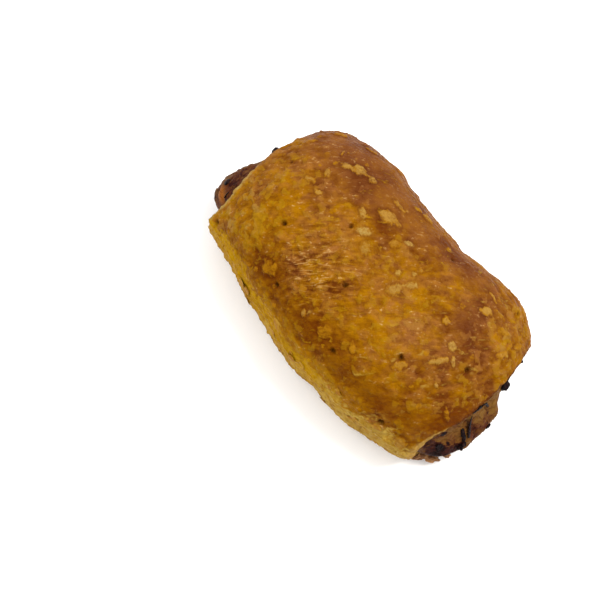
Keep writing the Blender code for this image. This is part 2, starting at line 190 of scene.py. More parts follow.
@dataclass(frozen=True)
class Form:
    """Sizes of the sleeve and its bore, and the surfaces they give."""

    length: float = 0.120
    height: float = 0.0420
    end_height: float = 0.0295
    droop: float = 4.2
    waist: float = 0.0140
    front_half: float = 0.03993
    front_taper: float = 0.263
    front_lean: float = 0.075
    back_half: float = 0.03666
    back_flare: float = 0.109
    back_lean: float = 0.046
    back_corner: float = 0.258
    corner_power: int = 8
    top_round: float = 2.4
    base_round: float = 3.5
    base_press: float = 1.06
    end_sag: float = 0.0048
    ear_reach: float = 0.0029
    ear_share: float = -1.00
    ear_span: float = 0.18
    corner_fade: int = 7
    dip_depth: float = 0.0017
    dip_share: float = -0.715
    dip_span: float = 0.26
    side_wall: float = 0.0058
    side_wall_end: float = 0.0045
    top_wall: float = 0.0054
    top_wall_end: float = 0.0031
    base_wall: float = 0.0042
    bore_round: float = 2.5
    bore_base_round: float = 3.0
    bore_waist: float = 0.40
    gap: float = 0.0004
    inner_end: float = 0.97
    probe: float = 0.002

    def half_width(self, s: np.ndarray, side: np.ndarray) -> np.ndarray:
        """Half width at s on the flank that the sign of side names."""
        front = self.front_half * (1.0 - self.front_taper * s**2 + self.front_lean * s)
        corner = self.back_corner * np.abs(s) ** self.corner_power
        back = self.back_half * (1.0 + self.back_flare * s**2 - self.back_lean * s - corner)
        return np.where(side < 0, front, back)

    def crown(self, s: np.ndarray) -> np.ndarray:
        """Height at s, drooping to the ends."""
        return self.height - (self.height - self.end_height) * np.abs(s) ** self.droop

    def along(self, s: np.ndarray, y: np.ndarray) -> np.ndarray:
        """X at s and Y, with the far end's ear and the near end's dip."""
        share = y / self.half_width(s, y)
        ear = self.ear_reach * bell((share - self.ear_share) / self.ear_span)
        dip = self.dip_depth * bell((share - self.dip_share) / self.dip_span)
        far = np.maximum(-s, 0.0) ** self.corner_fade
        near = np.maximum(s, 0.0) ** self.corner_fade
        return s * (self.length / 2.0 - self.end_sag * share**2) - ear * far - dip * near

    def plain_skin(self, s: np.ndarray, angle: np.ndarray) -> np.ndarray:
        """Outside of the sleeve without relief.

        Args:
            s: Place along, -1 at the far end to 1 at the near end.
            angle: Angle round X in radians, 0 at the back flank, a quarter turn at the top.

        Returns:
            Points of shape (..., 3).
        """
        c, n = np.cos(angle), np.sin(angle)
        upper = n >= 0.0
        power = np.where(upper, 2.0 / self.top_round, 2.0 / self.base_round)
        y = self.half_width(s, c) * signed_power(c, power)
        rise = (self.crown(s) - self.waist) * np.abs(n) ** (2.0 / self.top_round)
        fall = self.waist * self.base_press * np.abs(n) ** (2.0 / self.base_round)
        z = np.maximum(self.waist + np.where(upper, rise, -fall), 0.0)
        return np.stack([self.along(s, y), y, z], axis=-1)

    def normal(self, s: np.ndarray, angle: np.ndarray) -> np.ndarray:
        """Outward normal of the plain skin."""
        along = self.plain_skin(s + self.probe, angle) - self.plain_skin(s - self.probe, angle)
        around = self.plain_skin(s, angle + self.probe) - self.plain_skin(s, angle - self.probe)
        normal = np.cross(around, along)
        return normal / np.linalg.norm(normal, axis=-1, keepdims=True)

    def bore_frame(self, s: np.ndarray, side: np.ndarray, gap: float) -> tuple[np.ndarray, ...]:
        """Sizes of the bore's section.

        Args:
            s: Place along.
            side: Its sign names the flank.
            gap: How much the section shrinks on every side.

        Returns:
            Half width, floor, waist and top.
        """
        ends = s**2
        wall = self.side_wall - (self.side_wall - self.side_wall_end) * ends
        width = self.half_width(s, side) - wall - gap
        roof = self.top_wall - (self.top_wall - self.top_wall_end) * ends
        top = self.crown(s) - roof - gap
        floor = self.base_wall + gap
        return width, floor, floor + self.bore_waist * (top - floor), top

    def bore(self, s: np.ndarray, degrees: np.ndarray, gap: float = 0.0) -> np.ndarray:
        """Inside of the sleeve, or the side of the filling.

        Args:
            s: Place along.
            degrees: Angle round X.
            gap: How far the surface lies inside the bore.

        Returns:
            Points of shape (..., 3).
        """
        c, n = np.cos(np.radians(degrees)), np.sin(np.radians(degrees))
        width, floor, waist, top = self.bore_frame(s, c, gap)
        upper = n >= 0.0
        power = np.where(upper, 2.0 / self.bore_round, 2.0 / self.bore_base_round)
        y = width * signed_power(c, power)
        high = waist + (top - waist) * np.abs(n) ** (2.0 / self.bore_round)
        low = waist - (waist - floor) * np.abs(n) ** (2.0 / self.bore_base_round)
        return np.stack([self.along(s, y), y, np.where(upper, high, low)], axis=-1)


@dataclass(frozen=True)
class Swelling:
    """A wide rise or hollow of the sleeve."""

    place: float
    degrees: float
    span: float
    sweep: float
    rise: float


@dataclass(frozen=True)
class Blister:
    """A pale island of lifted skin. Turn 0 lies along X, 90 runs round the roll."""

    place: float
    degrees: float
    long_half: float
    short_half: float
    turn: float
    rise: float
    tone: float


@dataclass(frozen=True)
class Bake:
    """A zone of the crust baked darker, or more red, than its surroundings."""

    place: float
    degrees: float
    span: float
    sweep: float
    brown: float
    red: float
    flaky: float = 0.0


SWELLINGS = (
    Swelling(-0.98, 176.0, 0.09, 20.0, 0.0018),
    Swelling(-0.98, 62.0, 0.07, 16.0, -0.0006),
    Swelling(-0.62, 190.0, 0.20, 30.0, -0.0012),
    Swelling(-0.30, 190.0, 0.18, 30.0, -0.0022),
    Swelling(0.30, 196.0, 0.20, 30.0, -0.0016),
    Swelling(1.00, 210.0, 0.12, 24.0, -0.0012),
    Swelling(-0.80, 24.0, 0.16, 36.0, -0.0010),
    Swelling(-0.43, 14.0, 0.14, 30.0, 0.0011),
    Swelling(-0.06, 14.0, 0.10, 30.0, -0.0002),
    Swelling(0.26, 14.0, 0.16, 30.0, -0.0012),
    Swelling(0.66, 14.0, 0.14, 30.0, 0.0004),
    Swelling(0.90, 20.0, 0.08, 30.0, -0.0006),
)

BLISTERS = (
    Blister(-0.440, 132.4, 3.4, 3.0, 30.0, 0.60, 0.55),
    Blister(-0.513, 142.9, 1.2, 1.1, 0.0, 0.30, 0.45),
    Blister(-0.600, 64.0, 2.2, 1.3, 35.0, 0.45, 0.95),
    Blister(-0.562, 62.0, 1.9, 1.0, 25.0, 0.40, 0.95),
    Blister(-0.533, 58.6, 2.5, 2.1, 20.0, 0.55, 1.00),
    Blister(-0.488, 56.6, 1.9, 0.7, 5.0, 0.30, 0.85),
    Blister(-0.432, 56.2, 1.7, 1.5, 0.0, 0.55, 0.95),
    Blister(-0.630, 75.3, 1.8, 1.1, 150.0, 0.35, 0.90),
    Blister(-0.190, 66.2, 3.6, 2.7, 25.0, 0.50, 0.90),
    Blister(-0.125, 64.0, 1.9, 1.2, 10.0, 0.35, 0.80),
    Blister(-0.293, 76.3, 2.3, 1.3, 155.0, 0.40, 1.10),
    Blister(-0.193, 82.9, 2.6, 1.5, 35.0, 0.35, 1.50),
    Blister(-0.200, 53.8, 2.8, 0.9, 5.0, 0.30, 0.90),
    Blister(-0.033, 37.2, 2.9, 1.3, 8.0, 0.60, 0.95),
    Blister(0.030, 67.6, 1.8, 1.1, 40.0, 0.30, 1.40),
    Blister(-0.023, 75.0, 2.3, 1.5, 45.0, 0.30, 0.75),
    Blister(0.183, 90.1, 2.7, 2.0, 60.0, 0.45, 1.05),
    Blister(0.205, 87.0, 1.8, 0.6, 62.0, 0.30, 1.10),
    Blister(0.230, 84.3, 1.9, 1.2, 75.0, 0.35, 1.10),
    Blister(0.252, 82.6, 1.4, 0.5, 150.0, 0.25, 1.15),
    Blister(0.123, 84.5, 1.2, 1.0, 120.0, 0.30, 1.20),
    Blister(0.193, 78.7, 1.0, 1.0, 0.0, 0.30, 1.20),
    Blister(0.203, 74.7, 0.9, 0.8, 0.0, 0.20, 0.90),
    Blister(-0.080, 131.0, 1.5, 1.2, 130.0, 0.35, 0.90),
    Blister(-0.053, 127.9, 1.4, 0.7, 80.0, 0.30, 1.30),
    Blister(0.097, 128.7, 3.0, 2.6, 30.0, 0.40, 0.55),
    Blister(0.283, 123.1, 2.1, 1.2, 145.0, 0.30, 0.60),
    Blister(0.647, 88.7, 1.8, 1.6, 0.0, 0.40, 1.20),
    Blister(0.517, 83.5, 1.7, 1.3, 130.0, 0.30, 0.80),
    Blister(0.637, 62.0, 2.6, 1.6, 50.0, 0.45, 0.95),
    Blister(0.603, 48.8, 2.6, 0.6, 170.0, 0.30, 0.90),
    Blister(0.660, 95.9, 3.6, 1.1, 58.0, 0.35, 1.00),
    Blister(0.720, 91.4, 1.7, 0.8, 140.0, 0.35, 1.10),
    Blister(-0.700, 58.1, 1.8, 0.6, 110.0, 0.30, 0.85),
    Blister(-0.683, 55.0, 0.9, 0.5, 60.0, 0.30, 0.85),
    Blister(0.540, 111.7, 2.8, 1.4, 60.0, 0.30, 0.75),
    Blister(0.760, 104.3, 0.8, 0.7, 0.0, 0.25, 1.10),
    Blister(0.925, 111.0, 2.3, 1.2, 150.0, 0.35, 0.30),
    Blister(0.907, 156.0, 3.0, 2.2, 110.0, 0.35, 0.80),
    Blister(-0.560, 85.0, 1.7, 1.1, 60.0, 0.30, 0.95),
    Blister(-0.667, 83.5, 2.3, 1.3, 20.0, 0.35, 0.90),
    Blister(-0.113, 87.7, 2.4, 1.7, 140.0, 0.25, 0.95),
    Blister(-0.640, 33.0, 3.2, 0.9, 5.0, 0.35, 0.75),
    Blister(-0.860, 40.0, 2.6, 1.2, 40.0, 0.35, 0.70),
    Blister(-0.900, 66.0, 2.8, 1.0, 60.0, 0.30, 0.55),
    Blister(-0.800, 97.0, 2.2, 1.4, 80.0, 0.35, 0.80),
    Blister(-0.910, 118.0, 3.2, 1.0, 100.0, 0.35, 0.65),
    Blister(-0.760, 128.0, 2.4, 0.9, 70.0, 0.30, 0.55),
    Blister(-0.600, 148.0, 2.6, 1.0, 20.0, 0.30, 0.60),
    Blister(0.880, 70.0, 2.2, 1.1, 70.0, 0.35, 0.75),
    Blister(0.800, 60.0, 2.6, 1.4, 30.0, 0.35, 0.65),
    Blister(0.930, 52.0, 2.0, 1.2, 90.0, 0.35, 0.60),
)

BAKES = (
    Bake(-0.78, 46.0, 0.34, 34.0, 0.26, 0.66, -0.22),
    Bake(-0.42, 60.0, 0.22, 14.0, 0.18, 0.34, -0.22),
    Bake(-0.80, 122.0, 0.26, 30.0, -0.12, -0.24, 0.26),
    Bake(-0.92, 138.0, 0.12, 12.0, -0.16, -0.10, 0.16),
    Bake(-0.78, 88.0, 0.14, 9.0, -0.16, 0.00, 0.10),
    Bake(-0.24, 99.0, 0.22, 16.0, -0.17, 0.16, 0.04),
    Bake(-0.45, 136.0, 0.18, 11.0, 0.48, -0.55, -0.24),
    Bake(-0.12, 138.0, 0.14, 10.0, 0.44, -0.45, -0.14),
    Bake(-0.02, 155.0, 0.26, 8.0, -0.30, -0.80, 0.20),
    Bake(0.34, 158.0, 0.24, 8.0, -0.34, -0.40, 0.20),
    Bake(0.14, 130.0, 0.18, 10.0, 0.48, -0.42, -0.14),
    Bake(0.58, 138.0, 0.28, 13.0, 0.22, -0.46, -0.20),
    Bake(0.25, 142.0, 0.10, 6.0, 0.26, -0.10, -0.10),
    Bake(0.88, 124.0, 0.12, 20.0, 0.34, -0.10, -0.10),
    Bake(0.86, 104.0, 0.09, 9.0, 0.16, 0.05, 0.00),
    Bake(-0.12, 43.0, 0.50, 24.0, 0.32, 0.54, -0.26),
    Bake(0.62, 76.0, 0.12, 14.0, 0.26, 0.50, -0.26),
    Bake(0.76, 84.0, 0.10, 10.0, 0.34, 0.20, -0.10),
    Bake(0.38, 46.0, 0.22, 16.0, 0.20, 0.34, -0.18),
    Bake(0.84, 60.0, 0.15, 26.0, -0.02, 0.16, 0.22),
    Bake(0.97, 104.0, 0.07, 34.0, 0.50, 0.10, -0.10),
    Bake(0.86, 54.0, 0.09, 14.0, 0.14, 0.00, 0.00),
    Bake(0.38, 96.0, 0.22, 13.0, -0.16, 0.20, 0.12),
    Bake(0.46, 80.0, 0.12, 8.0, 0.16, -0.30, 0.00),
    Bake(-0.12, 74.0, 0.16, 9.0, 0.18, -0.10, -0.06),
)

PRICKS = (
    (-0.950, 157.5, 1.1),
    (-0.560, 106.5, 0.9),
    (-0.270, 85.6, 0.7),
    (-0.337, 136.1, 0.9),
    (-0.023, 103.6, 1.0),
    (0.213, 134.2, 1.1),
    (0.510, 107.8, 0.9),
    (0.807, 89.5, 0.9),
    (0.737, 150.9, 1.1),
    (-0.250, 66.8, 0.5),
    (0.273, 49.9, 0.5),
    (-0.853, 82.7, 0.5),
    (0.790, 35.6, 0.5),
)


@dataclass(frozen=True)
class Surface:
    """Points, and the marks that the shader reads at each, by attribute name."""

    points: np.ndarray
    marks: Marks


def lathe_grid(points: np.ndarray, wrapped: bool) -> tuple[bmesh.types.BMesh, str]:
    """Close a grid round X over rows of points.

    Args:
        points: Rows of points, of shape (rows, columns, 3).
        wrapped: Whether the last row meets the first, as in a ring.

    Returns:
        The closed mesh, and the name of the layer that holds each vertex's grid place.
    """
    rows, columns = points.shape[:2]
    grid = bmesh.new()
    lines = rows if wrapped else rows - 1
    bmesh.ops.create_grid(grid, x_segments=columns, y_segments=lines, size=1.0)
    layer = grid.verts.layers.int.new("cell")
    spots = points.reshape(-1, 3).tolist()
    for vert in grid.verts:
        column = round((vert.co.x + 1.0) / 2.0 * columns) % columns
        row = round((vert.co.y + 1.0) / 2.0 * lines) % rows
        cell = row * columns + column
        vert[layer] = cell
        vert.co = spots[cell]
    bmesh.ops.remove_doubles(grid, verts=grid.verts, dist=WELD)
    open_edges = [edge for edge in grid.edges if edge.is_boundary]
    if open_edges:
        bmesh.ops.holes_fill(grid, edges=open_edges)
    return grid, layer.name


def mesh_object(name: str, shape: bmesh.types.BMesh, smooth: bool = True) -> bpy.types.Object:
    """Turn a bmesh into an object of the scene and free it.

    Args:
        name: Name of the piece.
        shape: The finished bmesh.
        smooth: Whether its faces are smooth shaded.

    Returns:
        The new object.
    """
    mesh = bpy.data.meshes.new(name)
    shape.to_mesh(mesh)
    shape.free()
    if smooth:
        mesh.shade_smooth()
    item = bpy.data.objects.new(name, mesh)
    bpy.context.scene.collection.objects.link(item)
    return item


def closed_piece(
    name: str, shape: bmesh.types.BMesh, material: bpy.types.Material
) -> bpy.types.Object:
    """Turn closed shells into one dressed piece whose faces look outward."""
    bmesh.ops.recalc_face_normals(shape, faces=shape.faces)
    item = mesh_object(name, shape)
    item.data.materials.append(material)
    return item


def mark_mesh(mesh: bpy.types.Mesh, layer: str, marks: Marks) -> None:
    """Store marks of a grid on the mesh made from it.

    Args:
        mesh: The mesh.
        layer: Name of the attribute with each vertex's grid place.
        marks: Values over the grid by attribute name.
    """
    cells = np.zeros(len(mesh.vertices), dtype=np.int32)
    mesh.attributes[layer].data.foreach_get("value", cells)
    for name, values in marks.items():
        data = mesh.attributes.new(name, "FLOAT", "POINT").data
        data.foreach_set("value", values.reshape(-1)[cells].astype(np.float32))
    mesh.attributes.remove(mesh.attributes[layer])


class Shade:
    """A shader value that can be used in Python arithmetic."""

    def __init__(self, graph: Graph, socket: bpy.types.NodeSocket) -> None:
        """Wrap an output socket of a graph."""
        self.graph = graph
        self.socket = socket

    def _math(self, kind: str, *values: float | Shade) -> Shade:
        """Make a Math node of this kind over the values."""
        node = self.graph.node("ShaderNodeMath", {"operation": kind}, dict(enumerate(values)))
        return Shade(self.graph, node.outputs[0])

    def __add__(self, other: float | Shade) -> Shade:
        """Sum."""
        return self._math("ADD", self, other)

    def __radd__(self, other: float) -> Shade:
        """Sum with a number on the left."""
        return self._math("ADD", other, self)

    def __sub__(self, other: float | Shade) -> Shade:
        """Difference."""
        return self._math("SUBTRACT", self, other)

    def __rsub__(self, other: float) -> Shade:
        """Difference from a number."""
        return self._math("SUBTRACT", other, self)

    def __mul__(self, other: float | Shade) -> Shade:
        """Product."""
        return self._math("MULTIPLY", self, other)

    def __rmul__(self, other: float) -> Shade:
        """Product with a number on the left."""
        return self._math("MULTIPLY", other, self)

    def clamped(self) -> Shade:
        """The value held between 0 and 1."""
        node = self.graph.node("ShaderNodeClamp", {}, {"Value": self})
        return Shade(self.graph, node.outputs[0])

    def step(self, low: float, high: float) -> Shade:
        """A smooth rise from 0 at low to 1 at high."""
        node = self.graph.node(
            "ShaderNodeMapRange",
            {"interpolation_type": "SMOOTHSTEP"},
            {"Value": self, "From Min": low, "From Max": high},
        )
        return Shade(self.graph, node.outputs[0])


# The Mix node's colour sockets, which share their names with its other sockets.
COLOUR_A, COLOUR_B, COLOUR_OUT = 6, 7, 2


class Graph:
    """A material's nodes, made through one method."""

    def __init__(self, name: str) -> None:
        """Start a material with an empty Principled shader."""
        self.material = bpy.data.materials.new(name)
        self.material.use_nodes = True
        self.tree = self.material.node_tree
        self.shader = self.tree.nodes["Principled BSDF"]

    def node(self, kind: str, settings: dict, inputs: dict) -> bpy.types.Node:
        """Add a node.

        Args:
            kind: The node's type.
            settings: Its properties, set first.
            inputs: Values or Shades by socket name or number.

        Returns:
            The new node.
        """
        node = self.tree.nodes.new(kind)
        for key, value in settings.items():
            setattr(node, key, value)
        for key, value in inputs.items():
            self.feed(node.inputs[key], value)
        return node

    def feed(self, socket: bpy.types.NodeSocket, value: object) -> None:
        """Link a Shade to a socket, or set its value."""
        if isinstance(value, Shade):
            self.tree.links.new(value.socket, socket)
        elif isinstance(value, tuple) and len(value) == 3 and socket.type == "RGBA":
            socket.default_value = (*value, 1.0)
        else:
            socket.default_value = value

    def set(self, name: str, value: object) -> None:
        """Feed one of the Principled shader's sockets."""
        self.feed(self.shader.inputs[name], value)

    def mark(self, name: str) -> Shade:
        """Value of a mesh attribute."""
        node = self.node("ShaderNodeAttribute", {"attribute_name": name}, {})
        return Shade(self, node.outputs["Fac"])

    def place(self, turn: float = 0.0, stretch: Triple = (1.0, 1.0, 1.0)) -> Shade:
        """Object coordinates turned about Z, in which patterns come out stretched."""
        where = self.node("ShaderNodeTexCoord", {}, {})
        mapping = self.node(
            "ShaderNodeMapping",
            {"vector_type": "TEXTURE"},
            {"Vector": Shade(self, where.outputs["Object"]), "Rotation": (0.0, 0.0, turn), "Scale": stretch},
        )
        return Shade(self, mapping.outputs[0])

    def noise(self, place: Shade, span: float, detail: float = 3.0, warp: float = 0.0) -> Shade:
        """Noise from 0 to 1 with features about span across, in metres."""
        node = self.node(
            "ShaderNodeTexNoise",
            {"noise_dimensions": "3D"},
            {"Vector": place, "Scale": 1.0 / span, "Detail": detail, "Distortion": warp},
        )
        return Shade(self, node.outputs["Fac"])

    def blend(self, kind: str, share: float | Shade, first: Colour | Shade, second: Colour | Shade) -> Shade:
        """Blend two colours in one of the Mix node's ways, by a share."""
        settings = {"data_type": "RGBA", "blend_type": kind}
        inputs = {"Factor": share, COLOUR_A: first, COLOUR_B: second}
        return Shade(self, self.node("ShaderNodeMix", settings, inputs).outputs[COLOUR_OUT])

    def mix(self, share: float | Shade, first: Colour | Shade, second: Colour | Shade) -> Shade:
        """Colour between two colours."""
        return self.blend("MIX", share, first, second)

    def tint(self, base: Shade, share: float | Shade, colour: Colour | Shade) -> Shade:
        """Multiply a colour by another by a share."""
        return self.blend("MULTIPLY", share, base, colour)

    def bump(self, height: Shade, depth: float, strength: float = 1.0) -> Shade:
        """Normal of a fine relief whose full height is depth, in metres."""
        node = self.node("ShaderNodeBump", {}, {"Height": height, "Distance": depth, "Strength": strength})
        return Shade(self, node.outputs[0])


@dataclass(frozen=True)
class Grain:
    """Noises and marks that the crust's colours share."""

    wide: Shade
    toast: Shade
    hue: Shade
    fine: Shade
    speck: Shade
    pleats: Shade
    glints: Shade
    ridge: Shade
    relief: Shade


@dataclass(frozen=True)
class CrustFinish:
    """Glazed, blistered puff pastry, from pale gold to red-brown."""

    gold: Colour = baked(198, 132, 0)
    peach: Colour = baked(194, 124, 62)
    amber: Colour = baked(130, 65, 0)
    russet: Colour = baked(120, 60, 18)
    island: Colour = baked(204, 150, 60)
    bud: Colour = baked(196, 132, 12)
    flake: Colour = baked(196, 142, 14)
    layer: Colour = baked(208, 164, 76)
    cream: Colour = baked(212, 176, 96)
    # Colour of painted highlights: the glints and the lit tops of the wrinkles.
    glint: Colour = baked(236, 184, 112)
    flank: Colour = baked(234, 190, 84)
    yolk: Colour = baked(230, 172, 0)
    dough: Colour = baked(222, 174, 86)
    # Colour of painted shade, multiplied in where the skin is folded, cracked or grooved.
    crease_shade: Colour = (0.52, 0.34, 0.06)
    # Colour of painted shade in the prick holes.
    prick_shade: Colour = baked(100, 56, 8)
    roughness: float = 0.42
    gloss: float = 0.02
    bump_depth: float = 0.00034
    streak_stretch: Triple = (2.4, 1.0, 1.0)
    blotch_stretch: Triple = (1.7, 1.0, 1.0)
    pleat_stretch: Triple = (4.2, 1.0, 1.6)
    hue_turn: float = 0.9
    wide_span: float = 0.011
    hue_span: float = 0.0052
    blotch_span: float = 0.0046
    streak_span: float = 0.0017
    pleat_span: float = 0.0013
    glint_span: float = 0.0010
    speck_span: float = 0.0009

    def grain(self, g: Graph) -> Grain:
        """Lay out the noises, from broad tones to specks.

        Args:
            g: The material's graph.

        Returns:
            The noises and marks. Hue and glints run from 0 to 1, the rest lie round about 0.
        """
        plain = g.place()
        blotched = g.place(GRAIN_TURN, self.blotch_stretch)
        blotch = g.noise(blotched, self.blotch_span, 4.0, 0.8)
        fine = g.noise(g.place(GRAIN_TURN, self.streak_stretch), self.streak_span, 4.0, 0.8) - 0.5
        speck = g.noise(plain, self.speck_span, 3.0, 0.3) - 0.5
        pleat = g.noise(g.place(GRAIN_TURN, self.pleat_stretch), self.pleat_span, 3.0, 0.9) - 0.5
        pleats = pleat * (g.mark("folded") + 0.25)
        return Grain(
            wide=g.noise(plain, self.wide_span, 2.0, 0.3) - 0.5,
            toast=blotch.step(0.41, 0.61) - 0.5,
            hue=g.noise(g.place(self.hue_turn), self.hue_span, 3.0, 0.6).step(0.40, 0.60),
            fine=fine,
            speck=speck,
            pleats=pleats,
            glints=g.noise(blotched, self.glint_span, 2.0, 0.3).step(0.60, 0.71),
            ridge=g.mark("ridge"),
            relief=fine + speck * 0.8 + blotch * 0.4 + pleats * 1.6,
        )

    def browning(self, g: Graph, n: Grain) -> tuple[Shade, Shade]:
        """How brown and how red the crust is baked, with painted light and shade: wrinkle tops paler, their
        hollows browner.
        """
        calm = g.mark("calm")
        lively = (1.0 - g.mark("smooth") * 0.55 - calm * 0.45).clamped()
        # The ridge and pleat terms are painted light and shade: higher skin comes out paler, lower skin
        # browner.
        change = n.toast * 0.22 + n.fine * 0.8 + n.speck * 0.4 - n.ridge * 0.40 - n.pleats * 1.9
        brown = g.mark("brown") + n.wide * 1.1 + change * lively + calm * 0.10
        red = g.mark("red") - 0.06 + n.wide * 1.4 + (n.hue - 0.5) * 0.52 * lively + n.fine * 0.6
        return brown, red

    def glazed(self, g: Graph, n: Grain, brown: Shade, red: Shade) -> Shade:
        """The glazed skin, with pale patches where its top layer has lifted."""
        light = g.mix(red.clamped(), self.gold, self.peach)
        dark = g.mix(red.clamped(), self.amber, self.russet)
        flaky = g.mark("flaky")
        patch = (g.mark("patch") + n.fine * 1.3 + n.speck * 0.9).step(0.38, 0.66)
        lifted = g.mix((red * 0.9).clamped(), self.flake, self.peach)
        lifted = g.mix((flaky * 3.0 - 0.95 + (n.hue - 0.5) * 0.8).clamped(), lifted, self.layer)
        return g.mix(patch * (0.38 + flaky * 0.9).clamped(), g.mix(brown.clamped(), light, dark), lifted)

    def flanked(self, g: Graph, n: Grain, base: Shade) -> Shade:
        """A colour with the pale layers of the front flank laid over it."""
        flank = (g.mark("flank") + n.fine * 1.8 + n.toast * 0.45).step(0.20, 0.84)
        yolky = (g.mark("yolky") * 0.9 + n.hue * 0.5 - g.mark("low") * 0.70).clamped()
        bare = flank * (0.86 - n.toast * 0.36 - (n.hue - 0.5) * 0.24)
        return g.mix(bare.clamped(), base, g.mix(yolky, self.flank, self.yolk))

    def spotted(self, g: Graph, n: Grain, base: Shade) -> Shade:
        """A colour with blisters, cream edges, cut dough, and painted shade in folds and cracks, laid over
        it.
        """
        mark = g.mark("island")
        island = (mark + n.fine * 0.7 + n.speck * 0.5).step(0.30, 0.80)
        isle = g.mix(mark.step(0.72, 0.92), self.bud, self.island)
        base = g.mix(island * (0.74 + n.speck * 1.8 + n.fine * 1.6 + n.wide * 1.5).clamped(), base, isle)
        base = g.mix((g.mark("cream") * (0.75 + n.speck * 3.0)).clamped(), base, self.cream)
        base = g.mix((g.mark("cut") * (0.92 + n.fine * 2.2 + n.speck * 1.2)).clamped(), base, self.dough)
        # Painted shade: the crease mark darkens folds, cracks, grooves and the foot of each blister.
        return g.tint(base, (g.mark("crease_shade") * (1.0 + n.fine * 1.5)).clamped(), self.crease_shade)

    def highlit(self, g: Graph, n: Grain, base: Shade, brown: Shade, red: Shade) -> Shade:
        """A colour with painted highlights laid over it: fine pale glints, and the lit tops of the wrinkles.
        """
        glint = n.glints * (0.30 + n.ridge * 0.8 + red * 0.5 - brown * 0.60).clamped()
        lit_crest = n.pleats.step(0.06, 0.22) * (0.62 + red * 0.3 - brown * 0.35).clamped()
        return g.mix(lit_crest, g.mix(glint, base, self.glint), self.glint)

    def material(self) -> bpy.types.Material:
        """Build the material.

        Returns:
            The crust's material. It reads the marks that the crust's mesh carries.
        """
        g = Graph("baked_crust")
        n = self.grain(g)
        brown, red = self.browning(g, n)
        base = self.flanked(g, n, self.glazed(g, n, brown, red))
        base = self.highlit(g, n, self.spotted(g, n, base), brown, red)
        # Painted shade in the prick holes, where the pit mark is high.
        g.set("Base Color", g.mix(g.mark("pit"), base, self.prick_shade))
        g.set("Roughness", (self.roughness + n.fine * 0.5 + g.mark("island") * 0.08).clamped())
        g.set("Specular IOR Level", self.gloss)
        g.set("Normal", g.bump(n.relief, self.bump_depth))
        return g.material


@dataclass(frozen=True)
class MeatFinish:
    """Browned minced meat, from ochre over red-brown and maroon to char."""

    ochre: Colour = baked(156, 110, 44)
    tan: Colour = baked(142, 92, 40)
    brown: Colour = baked(118, 66, 26)
    red: Colour = baked(104, 46, 28)
    maroon: Colour = baked(74, 30, 22)
    char: Colour = baked(34, 16, 14)
    rust: Colour = baked(186, 108, 30)
    # Colour of painted shade, multiplied into splits, fold valleys and the rim next to the pastry.
    hollow: Colour = (0.36, 0.22, 0.15)
    roughness: float = 0.50
    gloss: float = 0.035
    lump_span: float = 0.0032
    fibre_span: float = 0.0008
    fibre_stretch: Triple = (1.0, 2.2, 1.0)
    bump_depth: float = 0.00045

    def material(self) -> bpy.types.Material:
        """Build the material. It reads the marks char, warm and rust, and hollow for painted shade."""
        g = Graph("browned_meat")
        lump = g.noise(g.place(), self.lump_span, 4.0, 0.5) - 0.5
        fibre = g.noise(g.place(0.0, self.fibre_stretch), self.fibre_span, 4.0, 0.9) - 0.5
        warm = (g.mark("warm") + lump * 1.8 + fibre * 0.9).clamped()
        pale = g.mix((lump * 3.0 + 0.5).clamped(), self.ochre, self.tan)
        roast = g.mix((fibre * 2.6 + lump * 2.0 + 0.5).clamped(), self.brown, self.red)
        base = g.mix(warm, pale, roast)
        base = g.mix((g.mark("rust") + fibre * 0.8 + lump * 1.2).clamped(), base, self.rust)
        burnt = g.mark("char") + fibre * 1.1 + lump
        base = g.mix(burnt.step(0.18, 0.52), base, self.maroon)
        base = g.mix(burnt.step(0.52, 0.86), base, self.char)
        # Painted shade where the hollow mark is high.
        base = g.tint(base, (g.mark("hollow") + fibre * 1.2).clamped(), self.hollow)
        g.set("Base Color", base)
        g.set("Roughness", (self.roughness + fibre * 0.5).clamped())
        g.set("Specular IOR Level", self.gloss)
        g.set("Normal", g.bump(fibre + lump * 0.6, self.bump_depth, 0.9))
        return g.material


@dataclass(frozen=True)
class CharFinish:
    """Charred onion and herb, nearly black with a brown bloom."""

    black: Colour = baked(24, 14, 18)
    bloom: Colour = baked(62, 28, 24)
    roughness: float = 0.45
    gloss: float = 0.06
    bloom_span: float = 0.0008
    bump_depth: float = 0.0003

    def material(self) -> bpy.types.Material:
        """Build the material."""
        g = Graph("charred_strip")
        crust = g.noise(g.place(), self.bloom_span, 3.0, 0.4)
        g.set("Base Color", g.mix(crust.step(0.45, 0.68), self.black, self.bloom))
        g.set("Roughness", (self.roughness + (crust - 0.5) * 0.4).clamped())
        g.set("Specular IOR Level", self.gloss)
        g.set("Normal", g.bump(crust, self.bump_depth, 0.8))
        return g.material


@dataclass(frozen=True)
class FlakeFinish:
    """Loose, dry pastry, pale gold and browned in spots."""

    name: str = "pastry_flake"
    pale: Colour = baked(222, 164, 40)
    brown: Colour = baked(190, 122, 8)
    roughness: float = 0.55
    gloss: float = 0.08
    toast_span: float = 0.0024
    grit_span: float = 0.0007
    bump_depth: float = 0.0002

    def material(self) -> bpy.types.Material:
        """Build the material."""
        g = Graph(self.name)
        toast = g.noise(g.place(), self.toast_span, 3.0, 0.4)
        g.set("Base Color", g.mix(toast.step(0.36, 0.66), self.pale, self.brown))
        g.set("Roughness", (self.roughness + (toast - 0.5) * 0.2).clamped())
        g.set("Specular IOR Level", self.gloss)
        g.set("Normal", g.bump(g.noise(g.place(), self.grit_span, 3.0), self.bump_depth, 0.7))
        return g.material


# Section of the lap seam's groove: degrees from its middle, and depths there in metres.
SEAM_OFFSETS = (-2.6, -0.9, 0.9, 2.8)
SEAM_DEPTHS = (0.0, 0.0012, 0.0010, 0.0)


